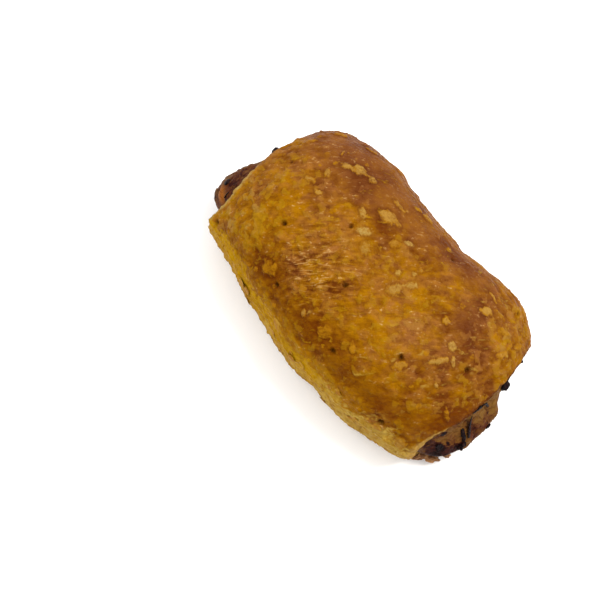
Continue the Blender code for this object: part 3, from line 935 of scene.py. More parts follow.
@dataclass
class Crust:
    """The pastry sleeve: its fine skin, cut ends and bore as one closed mesh."""

    form: Form = field(default_factory=Form)
    columns: int = 372
    outer_rows: int = 226
    crowding: float = 0.30
    rim_depths: tuple[float, ...] = (0.04, 0.10, 0.18, 0.27, 0.36, 0.46, 0.56, 0.66, 0.76, 0.86, 0.95)
    bore_places: tuple[float, ...] = (0.97, 0.93, 0.84, 0.66, 0.34)
    swell_height: float = 0.0010
    swell_span: float = 0.024
    shelf_place: float = -0.0317
    shelf_span: float = 0.0079
    shelf_reach: float = 0.0014
    pale_lip: float = -0.0185
    ripple_height: float = 0.00060
    ripple_span: float = 0.0085
    ledge_angles: tuple[float, ...] = (166.0, 178.0, 190.0, 201.0)
    ledge_height: float = 0.0007
    ledge_width: float = 3.2
    ledge_span: float = 0.017
    base_angles: Pair = (234.0, 310.0)
    base_fade: float = 14.0
    seam_angle: float = 262.0
    seam_wander: float = 1.8
    crinkle_height: float = 0.00040
    wrinkle_height: float = 0.00050
    patch_height: float = 0.00028
    seen_angles: Pair = (212.0, 352.0)
    seen_weight: float = 1.5
    hidden_weight: float = 0.72
    skin_end: float = 0.994
    ledge_drift: float = 4.0
    ledge_foot: float = 0.55
    blister_edge: float = 0.46
    blister_gain: float = 1.30
    crinkle_span: Triple = (3.8 * MM, 2.4 * MM, 3.0 * MM)
    flank_span: Triple = (8.0 * MM, 1.8 * MM, 1.8 * MM)
    wave_span: Triple = (6.0 * MM, 1.15 * MM, 2.2 * MM)
    wave_bend: float = 3.0 * MM
    crack_span: Triple = (5.0 * MM, 1.9 * MM, 2.4 * MM)
    fold_place: float = -0.20
    fold_length: float = 0.26
    fold_angle: float = 110.0
    fold_sweep: float = 20.0
    patch_span: float = 3.4 * MM
    layer_step: float = 8.0
    layer_height: float = 0.00010
    near_layer_height: float = 0.00026
    flank_crack_span: Triple = (4.5 * MM, 1.6 * MM, 1.6 * MM)
    chip_span: Triple = (2.6 * MM, 1.5 * MM, 1.5 * MM)
    rim_bow: float = 0.006
    rim_layers: float = 26.0
    rim_layer_height: float = 0.22 * MM
    rim_roughness: float = 0.5 * MM
    prick_depth: float = 1.5
    prick_ring: float = 0.10 * MM
    pimples: int = 230
    pimple_places: Pair = (-0.97, 0.97)
    pimple_angles: Pair = (-8.0, 205.0)
    pimple_sizes: Pair = (0.45, 1.3)
    pimple_rises: Pair = (0.10, 0.28)
    pimple_tones: Pair = (0.2, 0.75)
    base_brown: float = 0.46
    base_red: float = 0.28
    base_flaky: float = 0.14
    seed: int = 11

    def column_angles(self) -> np.ndarray:
        """Angles of the columns in degrees, closer together on the side that shows."""
        degrees = np.linspace(0.0, 360.0, 1441)
        ring = self.form.plain_skin(np.zeros_like(degrees), np.radians(degrees))
        steps = np.linalg.norm(np.diff(ring, axis=0), axis=1)
        middle = (degrees[1:] + degrees[:-1]) / 2.0
        seen = (middle < self.seen_angles[0]) | (middle > self.seen_angles[1])
        weight = np.where(seen, self.seen_weight, self.hidden_weight)
        run = np.concatenate([[0.0], np.cumsum(steps * weight)])
        wanted = np.linspace(0.0, run[-1], self.columns, endpoint=False)
        return np.interp(wanted, run, degrees)

    def outer_places(self) -> np.ndarray:
        """Places of the rows along the skin."""
        even = np.linspace(-1.0, 1.0, self.outer_rows)
        crowded = np.sin(even * math.pi / 2.0)
        return self.skin_end * ((1.0 - self.crowding) * even + self.crowding * crowded)

    def wander(self, s: np.ndarray) -> np.ndarray:
        """Sideways wander of the lap seam, in degrees."""
        return self.seam_wander * (np.sin(4.1 * s + 0.6) + 0.4 * np.sin(11.0 * s))

    def bare(self, degrees: np.ndarray) -> np.ndarray:
        """Share of relief, which fades to none on the flat underside."""
        low, high = self.base_angles
        inside = np.minimum(degrees - low, high - degrees) / self.base_fade
        return 1.0 - smooth_step(inside + 1.0)

    def broad_relief(self, s: np.ndarray, degrees: np.ndarray, points: np.ndarray) -> np.ndarray:
        """Height of the swells, ripples, ledges and swellings that the solid has too."""
        height = self.swell_height * field_of(points, self.swell_span)
        height += self.ripple_height * field_of(points + self.swell_span, self.ripple_span)
        line = points * np.array([1.0, 0.0, 0.0])
        for ledge in self.ledge_angles:
            drift = self.ledge_drift * field_of(line + ledge, self.ledge_span)
            step = (degrees - ledge - drift) / self.ledge_width
            height += self.ledge_height * bell(step) * np.where(step > 0.0, 1.0, self.ledge_foot)
        for swelling in SWELLINGS:
            turn = turn_from(degrees, swelling.degrees) / swelling.sweep
            height += swelling.rise * bell((s - swelling.place) / swelling.span, turn)
        return height

    def local(self, points: np.ndarray, place: float, degrees: float) -> tuple[np.ndarray, ...]:
        """Coordinates in the skin round one spot.

        Args:
            points: Points of the plain skin.
            place: Place of the spot along.
            degrees: Angle of the spot.

        Returns:
            The way along X, the way round the roll, and the distance, in metres.
        """
        centre = self.form.plain_skin(np.array(place), np.array(math.radians(degrees)))
        beside = self.form.plain_skin(np.array(place), np.array(math.radians(degrees - 1.0)))
        around = (beside - centre) / np.linalg.norm(beside - centre)
        away = points - centre
        return away[..., 0], away @ around, np.linalg.norm(away, axis=-1)

    def add_blisters(self, points: np.ndarray, edge: np.ndarray, marks: Marks) -> np.ndarray:
        """Raise the blisters and mark them pale.

        Args:
            points: Points of the plain skin.
            edge: Noise that makes their outlines uneven.
            marks: Marks to change: island, cream, calm, and crease, which paints a ring of shade round each
                blister's foot.

        Returns:
            The height they add.
        """
        height = np.zeros(points.shape[:-1])
        for blister in BLISTERS:
            u, v, far = self.local(points, blister.place, blister.degrees)
            near = far < 2.2 * blister.long_half * MM
            c, n = math.cos(math.radians(blister.turn)), math.sin(math.radians(blister.turn))
            u, v = u[near], v[near]
            long_way = (c * u + n * v) / (blister.long_half * MM)
            short_way = (c * v - n * u) / (blister.short_half * MM)
            reach = np.sqrt(long_way**2 + short_way**2) + self.blister_edge * edge[near]
            body = smooth_step((1.22 - reach) / 0.70)
            spot = smooth_step((1.30 - reach) / 0.62)
            height[near] = np.maximum(height[near], self.blister_gain * blister.rise * MM * body)
            raise_mark(marks, "island", spot * min(0.45 + 0.5 * blister.tone, 1.0), near)
            raise_mark(marks, "cream", spot * max(blister.tone - 0.85, 0.0), near)
            raise_mark(marks, "calm", smooth_step((2.0 - reach) / 0.8), near)
            # Painted shadow: a dark ring round the blister's foot.
            raise_mark(marks, "crease_shade", 0.42 * bell((reach - 1.17) / 0.10), near)
        return height

    def add_pimples(self, points: np.ndarray, edge: np.ndarray, marks: Marks) -> np.ndarray:
        """Scatter small pale pimples over the skin by a seeded draw.

        Args:
            points: Points of the plain skin.
            edge: Noise that makes their outlines uneven.
            marks: Marks to change: island.

        Returns:
            The height they add.
        """
        draw = np.random.default_rng(self.seed)
        height = np.zeros(points.shape[:-1])
        for _ in range(self.pimples):
            place, degrees = draw.uniform(*self.pimple_places), draw.uniform(*self.pimple_angles)
            size, rise = draw.uniform(*self.pimple_sizes) * MM, draw.uniform(*self.pimple_rises) * MM
            tone = draw.uniform(*self.pimple_tones)
            far = self.local(points, place, degrees)[2]
            near = far < 2.0 * size
            reach = far[near] / size + 0.4 * edge[near]
            height[near] += rise * smooth_step((1.2 - reach) / 0.7)
            raise_mark(marks, "island", tone * smooth_step((1.2 - reach) / 0.5), near)
        return height

    def add_pricks(self, points: np.ndarray, edge: np.ndarray, marks: Marks) -> np.ndarray:
        """Sink the prick holes and paint shade into and round them.

        Args:
            points: Points of the plain skin.
            edge: Noise that makes their outlines uneven.
            marks: Marks to change: pit and crease, both painted shade.

        Returns:
            The height they add, which is negative in the holes.
        """
        height = np.zeros(points.shape[:-1])
        for place, degrees, radius in PRICKS:
            far = self.local(points, place, degrees)[2] / (radius * MM) + 0.35 * edge
            height -= self.prick_depth * radius * MM * np.exp(-(np.maximum(far, 0.0) ** 3))
            height += self.prick_ring * bell((far - 1.7) / 0.5)
            # Painted shade: dark in each hole and fading out round it.
            raise_mark(marks, "pit", 0.9 * smooth_step((1.0 - far) / 0.5))
            raise_mark(marks, "crease_shade", 0.5 * smooth_step((1.9 - far) / 0.9))
        return height

    def grained(self, points: np.ndarray) -> np.ndarray:
        """Points turned so that their X runs along the skin's wrinkles."""
        c, n = math.cos(GRAIN_TURN), math.sin(GRAIN_TURN)
        x, y, z = np.moveaxis(points, -1, 0)
        return np.stack([c * x + n * y, c * y - n * x, z], axis=-1)

    def add_crinkles(
        self, s: np.ndarray, degrees: np.ndarray, points: np.ndarray, marks: Marks
    ) -> np.ndarray:
        """Wrinkle the skin: short creases across the top, long ones on the back flank.

        Args:
            s: Place along.
            degrees: Angle round X.
            points: Points of the plain skin.
            marks: Marks to change: ridge, folded, and crease, which paints shade into the cracks and wrinkle
                valleys.

        Returns:
            The height they add.
        """
        turned = self.grained(points)
        back = smooth_step((66.0 - degrees) / 30.0)
        crinkle = fractal_of(turned, self.crinkle_span, 4) * (1.0 - back)
        crinkle += fractal_of(points, self.flank_span, 3) * back
        crinkle *= 1.0 - 0.60 * marks["smooth"]
        folded = bell((s - self.fold_place) / self.fold_length, (degrees - self.fold_angle) / self.fold_sweep)
        bend = self.wave_bend * field_of(points, 9.0 * MM)[..., None]
        wave = field_of(turned + bend, self.wave_span)
        crack = np.abs(field_of(turned + 0.02, self.crack_span))
        line = smooth_step((0.085 - crack) / 0.07) * (0.30 + 0.5 * folded) * (1.0 - 0.7 * marks["smooth"])
        valley = smooth_step((-wave - 0.12) / 0.30) * folded
        # The ridge mark is the wrinkles' height; the shader paints the high parts paler from it, as painted
        # light.
        marks["ridge"] = np.clip(crinkle * 0.9 + wave * folded * 1.6, -1.0, 1.0)
        marks["folded"] = folded
        # Painted shade in the fine cracks and in the wrinkle valleys.
        raise_mark(marks, "crease_shade", np.maximum(line * 0.55, valley * 0.60))
        return self.crinkle_height * crinkle - 0.12 * MM * line + self.wrinkle_height * wave * folded

    def add_patches(self, points: np.ndarray, marks: Marks) -> np.ndarray:
        """Lift ragged pale patches of the top layer, more of them where the bake is flaky.

        Args:
            points: Points of the plain skin.
            marks: Marks to change: patch. It reads flaky.

        Returns:
            The height they add.
        """
        ragged = fractal_of(points + 0.05, self.patch_span, 4)
        marks["patch"] = np.clip(0.5 + 1.5 * (ragged + marks["flaky"] - 0.42), 0.0, 1.0)
        return self.patch_height * smooth_step((marks["patch"] - 0.25) / 0.5)

    def add_layers(self, degrees: np.ndarray, points: np.ndarray, marks: Marks) -> np.ndarray:
        """Split the front flank into flaky, cracked layers.

        Args:
            degrees: Angle round X.
            points: Points of the plain skin.
            marks: Marks to change: flank, low, and crease, which paints shade where the layers drop and
                crack.

        Returns:
            The height they add.
        """
        line = points * np.array([1.0, 0.25, 0.25])
        low = degrees + 7.0 * field_of(points, 11.0 * MM) + 5.0 * fractal_of(points + 0.03, 4.0 * MM, 3)
        weight = smooth_step((low - 148.0) / 16.0) * smooth_step((226.0 - degrees) / 14.0)
        count = (degrees - 156.0) / self.layer_step
        count = count + 0.9 * field_of(line, 8.0 * MM) + 0.5 * field_of(line, 2.6 * MM)
        share = count - np.floor(count)
        spots = np.stack([points[..., 0], np.floor(count) * 5.0 * MM, 0.0 * count], axis=-1)
        torn = weight * smooth_step((field_of(spots, 5.0 * MM) + 0.30) / 0.45)
        crack = np.abs(field_of(points, self.flank_crack_span))
        cracked = smooth_step((0.09 - crack) / 0.07) * weight
        drop = smooth_step((share - 0.90) / 0.08) + smooth_step((0.08 - share) / 0.06)
        raise_mark(marks, "flank", weight)
        marks["low"] = smooth_step((low - 164.0) / 18.0)
        # Painted shade where the layers drop and crack.
        raise_mark(marks, "crease_shade", np.maximum(0.60 * drop * torn, 0.55 * cracked))
        chips = fractal_of(points + 0.11, self.chip_span, 3)
        rough = self.layer_height + self.near_layer_height * marks["near"]
        return rough * (share**1.6 - 0.4) * torn + 0.4 * rough * chips * weight - 0.3 * rough * cracked

    def bake_marks(self, s: np.ndarray, degrees: np.ndarray) -> Marks:
        """Browning, redness and flakiness over the skin, and the marks that relief fills in."""
        names = ("island", "cream", "crease_shade", "pit", "cut", "flank", "calm")
        marks = {name: np.zeros(s.shape) for name in names}
        marks["brown"] = np.full(s.shape, self.base_brown)
        marks["red"] = np.full(s.shape, self.base_red)
        marks["flaky"] = np.full(s.shape, self.base_flaky)
        for bake in BAKES:
            share = bell((s - bake.place) / bake.span, turn_from(degrees, bake.degrees) / bake.sweep)
            marks["brown"] += bake.brown * share
            marks["red"] += bake.red * share
            marks["flaky"] += bake.flaky * share
        back = smooth_step((32.0 - np.where(degrees > 300.0, degrees - 360.0, degrees)) / 30.0)
        under = smooth_step((degrees - 218.0) / 14.0) * smooth_step((332.0 - degrees) / 16.0)
        far_edge = smooth_step((-0.955 - s) / 0.035) * smooth_step((degrees - 84.0) / 20.0)
        marks["brown"] += 0.10 * back + 0.22 * under - 0.30 * far_edge
        marks["red"] += 0.20 * back + 0.12 * under
        marks["smooth"] = smooth_step((0.10 - marks["flaky"]) / 0.25)
        marks["yolky"] = smooth_step((0.55 - s) / 0.50)
        marks["near"] = smooth_step((s - 0.05) / 0.50)
        marks["cream"] += 0.9 * smooth_step((-0.982 - s) / 0.009) * far_edge * (degrees < 168.0)
        near_edge = smooth_step((s - 0.972) / 0.020) * smooth_step((degrees - 140.0) / 14.0)
        marks["cream"] += 0.55 * near_edge * smooth_step((204.0 - degrees) / 12.0)
        return marks

    def skin(self, s: np.ndarray, degrees: np.ndarray) -> Surface:
        """The outside with all its relief and marks."""
        angle = np.radians(degrees)
        points = self.form.plain_skin(s, angle)
        marks = self.bake_marks(s, degrees)
        edge = field_of(points, 1.3 * MM) + 0.6 * field_of(points, 2.8 * MM)
        height = self.broad_relief(s, degrees, points)
        height += self.add_crinkles(s, degrees, points, marks)
        height += self.add_patches(points, marks)
        height += self.add_layers(degrees, points, marks)
        height += self.add_pimples(points, edge, marks)
        height += self.add_blisters(points, edge, marks)
        height += self.add_pricks(points, edge, marks)
        height *= self.bare(degrees)
        skin = points + self.form.normal(s, angle) * height[..., None]
        offset = degrees - self.seam_angle - self.wander(s)
        groove = np.interp(offset, SEAM_OFFSETS, SEAM_DEPTHS)
        skin[..., 2] = np.maximum(skin[..., 2], 0.0) + groove
        # Painted shade in the lap seam's groove, deeper where the groove is deeper.
        raise_mark(marks, "crease_shade", groove / 0.0013)
        return Surface(skin, marks)

    def rim(self, end: End, degrees: np.ndarray, outer: np.ndarray, marks: Marks) -> Surface:
        """Rows of one cut end, from the skin to the bore.

        Args:
            end: Which end.
            degrees: Angles of the columns.
            outer: Last row of the skin at this end.
            marks: Marks of that row.

        Returns:
            The rows, ordered from the skin inward.
        """
        depth = np.array(self.rim_depths)[:, None]
        s = 1.0 - self.rim_bow * np.abs(2.0 * depth - 0.9) ** 3 + 0.0 * degrees
        columns = np.broadcast_to(degrees, s.shape)
        inner = self.form.bore(s * end.value, columns)
        plain = self.form.plain_skin(s * end.value, np.radians(columns))
        last = np.full(degrees.shape, self.outer_places()[-1] * end.value)
        lift = outer - self.form.plain_skin(last, np.radians(degrees))
        start = plain + lift
        points = start + (inner - start) * depth[..., None]
        layer = np.sin(depth * self.rim_layers + 3.0 * field_of(points, 5.0 * MM))
        rough = self.rim_roughness * field_of(points, 2.2 * MM)
        points[..., 0] += end.value * (self.rim_layer_height * layer + rough)
        if end is End.NEAR:
            away = (points[..., 1] - self.shelf_place) / self.shelf_span
            shelf = bell(away) * (points[..., 2] > self.form.base_wall)
            points[..., 0] += self.shelf_reach * shelf * 4.0 * depth * (1.0 - depth)
        rows = {name: np.repeat(values[None], len(self.rim_depths), axis=0) for name, values in marks.items()}
        inside = smooth_step((depth - 0.14) / 0.16) + 0.0 * points[..., 0]
        baked_lip = smooth_step((points[..., 1] - self.pale_lip) / 0.004) * (end is End.NEAR)
        bared = np.maximum(inside, (end is End.NEAR) * smooth_step(depth / 0.06))
        rows["cut"] = 0.9 * bared * (1.0 - baked_lip)
        rows["brown"] = rows["brown"] + 0.75 * baked_lip * inside
        for name in ("island", "cream", "patch", "flank"):
            rows[name] = rows[name] * (1.0 - inside)
        # Painted shade in the grooves between the cut layers.
        rows["crease_shade"] = np.clip(0.6 * smooth_step((-layer - 0.1) / 0.8) * inside, 0.0, 1.0)
        rows["pit"] = rows["pit"] * 0.0
        return Surface(points, rows)

    def surface(self) -> Surface:
        """The whole closed sleeve as rows round X."""
        degrees = self.column_angles()
        places = self.outer_places()[:, None]
        s, turned = np.broadcast_arrays(places, degrees[None, :])
        skin = self.skin(s, turned)
        near = self.rim(End.NEAR, degrees, skin.points[-1], {k: v[-1] for k, v in skin.marks.items()})
        far = self.rim(End.FAR, degrees, skin.points[0], {k: v[0] for k, v in skin.marks.items()})
        ways = np.array(self.bore_places + tuple(-p for p in reversed(self.bore_places)))[:, None]
        bs, bd = np.broadcast_arrays(ways, degrees[None, :])
        bore = self.form.bore(bs, bd)
        inside = {name: np.zeros(bs.shape) for name in skin.marks}
        inside["cut"] = np.full(bs.shape, 0.9)
        points = np.concatenate([skin.points, near.points, bore, far.points[::-1]])
        marks = {
            name: np.concatenate([skin.marks[name], near.marks[name], inside[name], far.marks[name][::-1]])
            for name in skin.marks
        }
        return Surface(points + SHIFT, marks)

    def build(self) -> bpy.types.Object:
        """Make the crust and let it stand for the sleeve's solid."""
        surface = self.surface()
        shape, layer = lathe_grid(surface.points, True)
        item = closed_piece("crust", shape, CrustFinish().material())
        mark_mesh(item.data, layer, surface.marks)
        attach(item, ROOT)
        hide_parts("pastry")
        return item


@dataclass(frozen=True)
class Lobe:
    """One swelling of the filling past an end."""

    y: float
    z: float
    half_y: float
    half_z: float
    reach: float


LOBES = {
    End.NEAR: (
        Lobe(-0.0138, 0.0071, 0.0104, 0.0091, 0.0072),
        Lobe(-0.0005, 0.0095, 0.0089, 0.0066, 0.0060),
        Lobe(-0.0255, 0.0036, 0.0062, 0.0120, 0.0080),
    ),
    End.FAR: (
        Lobe(-0.0126, 0.0107, 0.0146, 0.0132, 0.0102),
        Lobe(0.0015, 0.0148, 0.0072, 0.0093, 0.0034),
        Lobe(0.0198, 0.0111, 0.0074, 0.0100, 0.0013),
        Lobe(-0.0239, 0.0110, 0.0085, 0.0069, 0.0120),
    ),
}


@dataclass(frozen=True)
class Scorch:
    """A spot of an end at Y, Z: its half sizes, and what it adds to the marks of the filling."""

    end: End
    y: float
    z: float
    half_y: float
    half_z: float
    char: float
    warm: float
    rust: float = 0.0


SCORCHES = (
    Scorch(End.NEAR, -0.0230, 0.0156, 0.0028, 0.0045, 0.42, 0.55),
    Scorch(End.NEAR, -0.0217, 0.0119, 0.0042, 0.0026, 0.50, 0.55),
    Scorch(End.NEAR, -0.0202, 0.0158, 0.0013, 0.0017, 1.00, 0.00),
    Scorch(End.NEAR, -0.0175, 0.0217, 0.0013, 0.0014, 1.00, 0.00),
    Scorch(End.NEAR, -0.0140, 0.0176, 0.0030, 0.0032, -0.50, -0.75),
    Scorch(End.NEAR, -0.0164, 0.0146, 0.0024, 0.0014, 0.30, 0.35),
    Scorch(End.NEAR, -0.0146, 0.0196, 0.0016, 0.0012, 0.30, 0.60),
    Scorch(End.NEAR, -0.0173, 0.0159, 0.0005, 0.0006, 0.95, 0.00),
    Scorch(End.NEAR, -0.0165, 0.0121, 0.0028, 0.0018, 0.48, 0.60),
    Scorch(End.NEAR, -0.0135, 0.0123, 0.0018, 0.0016, 0.85, 0.20),
    Scorch(End.NEAR, -0.0101, 0.0144, 0.0006, 0.0030, -0.30, -0.40),
    Scorch(End.NEAR, -0.0006, 0.0196, 0.0060, 0.0040, -0.40, -0.70),
    Scorch(End.NEAR, 0.0059, 0.0161, 0.0044, 0.0046, -0.40, -0.75),
    Scorch(End.NEAR, -0.0070, 0.0136, 0.0026, 0.0018, 0.00, 0.60),
    Scorch(End.NEAR, -0.0030, 0.0128, 0.0044, 0.0014, 0.14, 0.55),
    Scorch(End.NEAR, 0.0014, 0.0149, 0.0005, 0.0005, 0.85, 0.00),
    Scorch(End.NEAR, -0.0009, 0.0127, 0.0005, 0.0005, 0.85, 0.00),
    Scorch(End.NEAR, 0.0108, 0.0186, 0.0016, 0.0034, 0.60, 0.40),
    Scorch(End.FAR, -0.0065, 0.0226, 0.0045, 0.0014, 0.42, 0.40),
    Scorch(End.FAR, -0.0161, 0.0182, 0.0019, 0.0017, -0.30, 0.00, 1.10),
    Scorch(End.FAR, -0.0176, 0.0184, 0.0015, 0.0018, -0.30, -0.60, 1.00),
    Scorch(End.FAR, -0.0176, 0.0207, 0.0016, 0.0015, 0.58, 0.20),
    Scorch(End.FAR, -0.0184, 0.0138, 0.0014, 0.0040, 0.50, 0.20),
    Scorch(End.FAR, -0.0118, 0.0216, 0.0026, 0.0017, 0.42, 0.40),
)


@dataclass
class Meat:
    """The filling: straight through the sleeve, lumpy where it swells out of the ends."""

    form: Form = field(default_factory=Form)
    columns: int = 300
    rings: int = 62
    lump_height: float = 0.0006
    lump_span: float = 0.0050
    fold_height: float = 0.00110
    split_depth: float = 0.00035
    rough_height: float = 0.00030
    through: tuple[float, ...] = (0.97, 0.93, 0.84, 0.66, 0.34)

    def lobes(self, end: End, y: np.ndarray, z: np.ndarray) -> np.ndarray:
        """How far the filling reaches past an end at Y, Z."""
        total = np.zeros_like(y)
        for lobe in LOBES[end]:
            fall = (np.abs(y - lobe.y) / lobe.half_y) ** 3.0 + (np.abs(z - lobe.z) / lobe.half_z) ** 3.0
            total += (lobe.reach * np.exp(-fall)) ** 1.7
        return total ** (1.0 / 1.7)

    def cap(self, end: End, y: np.ndarray, z: np.ndarray) -> np.ndarray:
        """X of the broad swollen end at Y, Z, as in the solid."""
        form = self.form
        s = np.full_like(y, end.value * form.inner_end)
        width, floor, waist, top = form.bore_frame(s, y, form.gap)
        upper = z >= waist
        power = np.where(upper, form.bore_round, form.bore_base_round)
        half = np.where(upper, top - waist, waist - floor)
        share = (np.abs(y / width) ** power + np.abs((z - waist) / half) ** power) ** (1.0 / power)
        rim = form.along(s, y)
        ends = end.value * (form.length / 2.0 - form.end_sag * (y / form.half_width(s, y)) ** 2)
        spot = np.stack([np.full_like(y, end.value * 0.05), y, z], axis=-1)
        lump = self.lump_height * field_of(spot, self.lump_span)
        full = ends + end.value * (self.lobes(end, y, z) + lump)
        return rim + (full - rim) * (1.0 - np.clip(share, 0.0, 1.0) ** 6)

    def end_rows(self, end: End) -> Surface:
        """Rings of one end, from its edge to its middle."""
        degrees = np.linspace(0.0, 360.0, self.columns, endpoint=False)
        place = np.full(degrees.shape, end.value * self.form.inner_end)
        edge = self.form.bore(place, degrees, self.form.gap)
        waist = self.form.bore_frame(place[:1], np.array([1.0]), self.form.gap)[2][0]
        share = 1.0 - (np.arange(1, self.rings + 1) / (self.rings + 0.35))[:, None] ** 1.15
        y = edge[:, 1] * share
        z = waist + (edge[:, 2] - waist) * share
        points = np.stack([self.cap(end, y, z), y, z], axis=-1)
        stretch = (1.0, 4.2 * MM, 8.0 * MM) if end is End.NEAR else (1.0, 9.0 * MM, 2.6 * MM)
        fold = field_of(points * np.array([0.0, 1.0, 1.0]) + end.value, stretch)
        first, second = cells_of(points, 3.4 * MM)
        split = smooth_step((0.12 - (second - first)) / 0.10)
        ease = smooth_step((1.0 - share) / 0.10)
        rough = fractal_of(points, 1.9 * MM, 3)
        relief = self.fold_height * fold + self.rough_height * rough - self.split_depth * split
        points[..., 0] += end.value * ease * relief
        return Surface(points, self.end_marks(end, points, fold, split, share + 0.0 * y))

    def end_marks(
        self, end: End, points: np.ndarray, fold: np.ndarray, split: np.ndarray, share: np.ndarray
    ) -> Marks:
        """Where an end is charred, warm brown or rusty, and where shade is painted into its splits, fold
        valleys and rim.

        Args:
            end: Which end.
            points: Its points.
            fold: Noise of its folds.
            split: How deep each point is in a split.
            share: Way from the middle, 0, to the edge, 1.

        Returns:
            The marks char, warm, rust, and hollow, which is painted shade.
        """
        y, z = points[..., 1], points[..., 2]
        char = np.full(y.shape, 0.05 if end is End.NEAR else 0.0)
        warm = np.full(y.shape, 0.50 if end is End.NEAR else 0.75)
        rust = np.full(y.shape, -0.3 if end is End.NEAR else 0.0)
        for spot in SCORCHES:
            if spot.end is end:
                near = bell((y - spot.y) / spot.half_y, (z - spot.z) / spot.half_z)
                char += spot.char * near
                warm += spot.warm * near
                rust += spot.rust * near
        warm = warm - 0.5 * fold
        # Painted shade: the rim next to the pastry, the splits and the fold valleys come out darker.
        edge = smooth_step((share - 0.93) / 0.06) * 0.6
        hollow = 0.35 * split + edge + 0.5 * smooth_step((-fold - 0.25) / 0.3)
        return {
            "char": np.clip(char, 0.0, 1.0),
            "warm": np.clip(warm, 0.0, 1.0),
            "rust": rust,
            "hollow": hollow,
        }

    def surface(self) -> Surface:
        """The whole filling as rows round X."""
        near, far = self.end_rows(End.NEAR), self.end_rows(End.FAR)
        degrees = np.linspace(0.0, 360.0, self.columns, endpoint=False)
        ways = np.array(tuple(-p for p in self.through) + self.through[::-1])[:, None]
        s, d = np.broadcast_arrays(ways, degrees[None, :])
        side = self.form.bore(s, d, self.form.gap)
        plain = {"char": 0.0 * s, "warm": 0.5 + 0.0 * s, "rust": 0.0 * s - 0.3, "hollow": 0.0 * s}
        points = np.concatenate([far.points[::-1], side, near.points])
        marks = {
            name: np.concatenate([far.marks[name][::-1], plain[name], near.marks[name]]) for name in plain
        }
        return Surface(points + SHIFT, marks)

    def build(self) -> bpy.types.Object:
        """Make the filling and let it stand for its solid."""
        surface = self.surface()
        shape, layer = lathe_grid(surface.points, False)
        item = closed_piece("meat", shape, MeatFinish().material())
        mark_mesh(item.data, layer, surface.marks)
        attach(item, ROOT)
        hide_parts("filling")
        return item


@dataclass(frozen=True)
class Strip:
    """A bent strip on an end: Y, Z of start, middle and finish, half widths, and how proud."""

    end: End
    start: Pair
    middle: Pair
    finish: Pair
    half_start: float
    half_finish: float
    proud: float = 0.0002


STRIPS = (
    Strip(End.NEAR, (-0.0104, 0.0176), (-0.0109, 0.0154), (-0.0118, 0.0134), 0.00085, 0.00125),
    Strip(End.NEAR, (-0.0117, 0.0132), (-0.0129, 0.0121), (-0.0154, 0.0113), 0.00140, 0.00160),
    Strip(End.NEAR, (-0.0051, 0.0210), (-0.0077, 0.0172), (-0.0097, 0.0138), 0.00032, 0.00100),
    Strip(End.NEAR, (-0.0050, 0.0229), (-0.0026, 0.0236), (0.0004, 0.0222), 0.00085, 0.00065),
    Strip(End.NEAR, (0.0003, 0.0224), (0.0018, 0.0212), (0.0024, 0.0170), 0.00050, 0.00045),
    Strip(End.NEAR, (0.0008, 0.0249), (0.0017, 0.0251), (0.0026, 0.0251), 0.00050, 0.00040),
    Strip(End.NEAR, (-0.0183, 0.0222), (-0.0176, 0.0219), (-0.0170, 0.0221), 0.00070, 0.00080),
    Strip(End.NEAR, (-0.0206, 0.0168), (-0.0202, 0.0158), (-0.0199, 0.0149), 0.00080, 0.00110, 0.0001),
    Strip(End.NEAR, (-0.0022, 0.0114), (-0.0010, 0.0110), (0.0002, 0.0109), 0.00060, 0.00090, 0.0003),
    Strip(End.FAR, (0.0060, 0.0237), (0.0080, 0.0233), (0.0100, 0.0227), 0.00120, 0.00110, 0.0006),
    Strip(End.FAR, (-0.0174, 0.0204), (-0.0160, 0.0214), (-0.0150, 0.0221), 0.00050, 0.00040),
    Strip(End.FAR, (-0.0060, 0.0130), (-0.0020, 0.0100), (0.0020, 0.0105), 0.00070, 0.00060),
    Strip(End.NEAR, (0.0130, 0.0170), (0.0160, 0.0130), (0.0200, 0.0120), 0.00070, 0.00050),
)


@dataclass
class Strips:
    """Charred strips of onion and herb that lie half sunk in the filling."""

    meat: Meat
    sides: int = 14
    rings: int = 22
    flatness: float = 0.55
    coarse_span: float = 1.1 * MM
    fine_span: float = 0.5 * MM

    def place_strip(self, shape: bmesh.types.BMesh, strip: Strip) -> None:
        """Add one strip, a ball drawn out along its bend.

        Args:
            shape: Mesh to add it to.
            strip: Which strip.
        """
        y, z = np.array([strip.start, strip.middle, strip.finish]).T
        x = self.meat.cap(strip.end, y, z) + strip.end.value * strip.proud
        start, middle, finish = (Vector(p) for p in (np.stack([x, y, z], axis=-1) + SHIFT))
        made = bmesh.ops.create_uvsphere(shape, u_segments=self.sides, v_segments=self.rings, radius=1.0)
        outward = Vector((strip.end.value, 0.0, 0.0))
        for vert in made["verts"]:
            t = (vert.co.z + 1.0) / 2.0
            spot = start * (1 - t) ** 2 + middle * 2 * t * (1 - t) + finish * t**2
            tangent = ((middle - start) * (1 - t) + (finish - middle) * t).normalized()
            across = tangent.cross(outward).normalized()
            up = across.cross(tangent)
            half = strip.half_start * (1 - t) + strip.half_finish * t
            swell = half * max(1.0 - vert.co.z**2, 0.01) ** -0.25
            ball = Vector((vert.co.x, vert.co.y, 0.0)) * half
            coarse = noise.noise((spot + ball) / self.coarse_span) * 0.9
            fine = noise.noise((spot + ball) / self.fine_span) * 0.5
            rough = (coarse + fine) * half
            thick = self.flatness * swell * vert.co.y + 0.5 * rough
            vert.co = spot + across * (vert.co.x * swell + rough) + up * thick

    def build(self) -> bpy.types.Object:
        """Make all strips as one piece."""
        shape = bmesh.new()
        for strip in STRIPS:
            self.place_strip(shape, strip)
        item = closed_piece("charred_strips", shape, CharFinish().material())
        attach(item, ROOT)
        return item


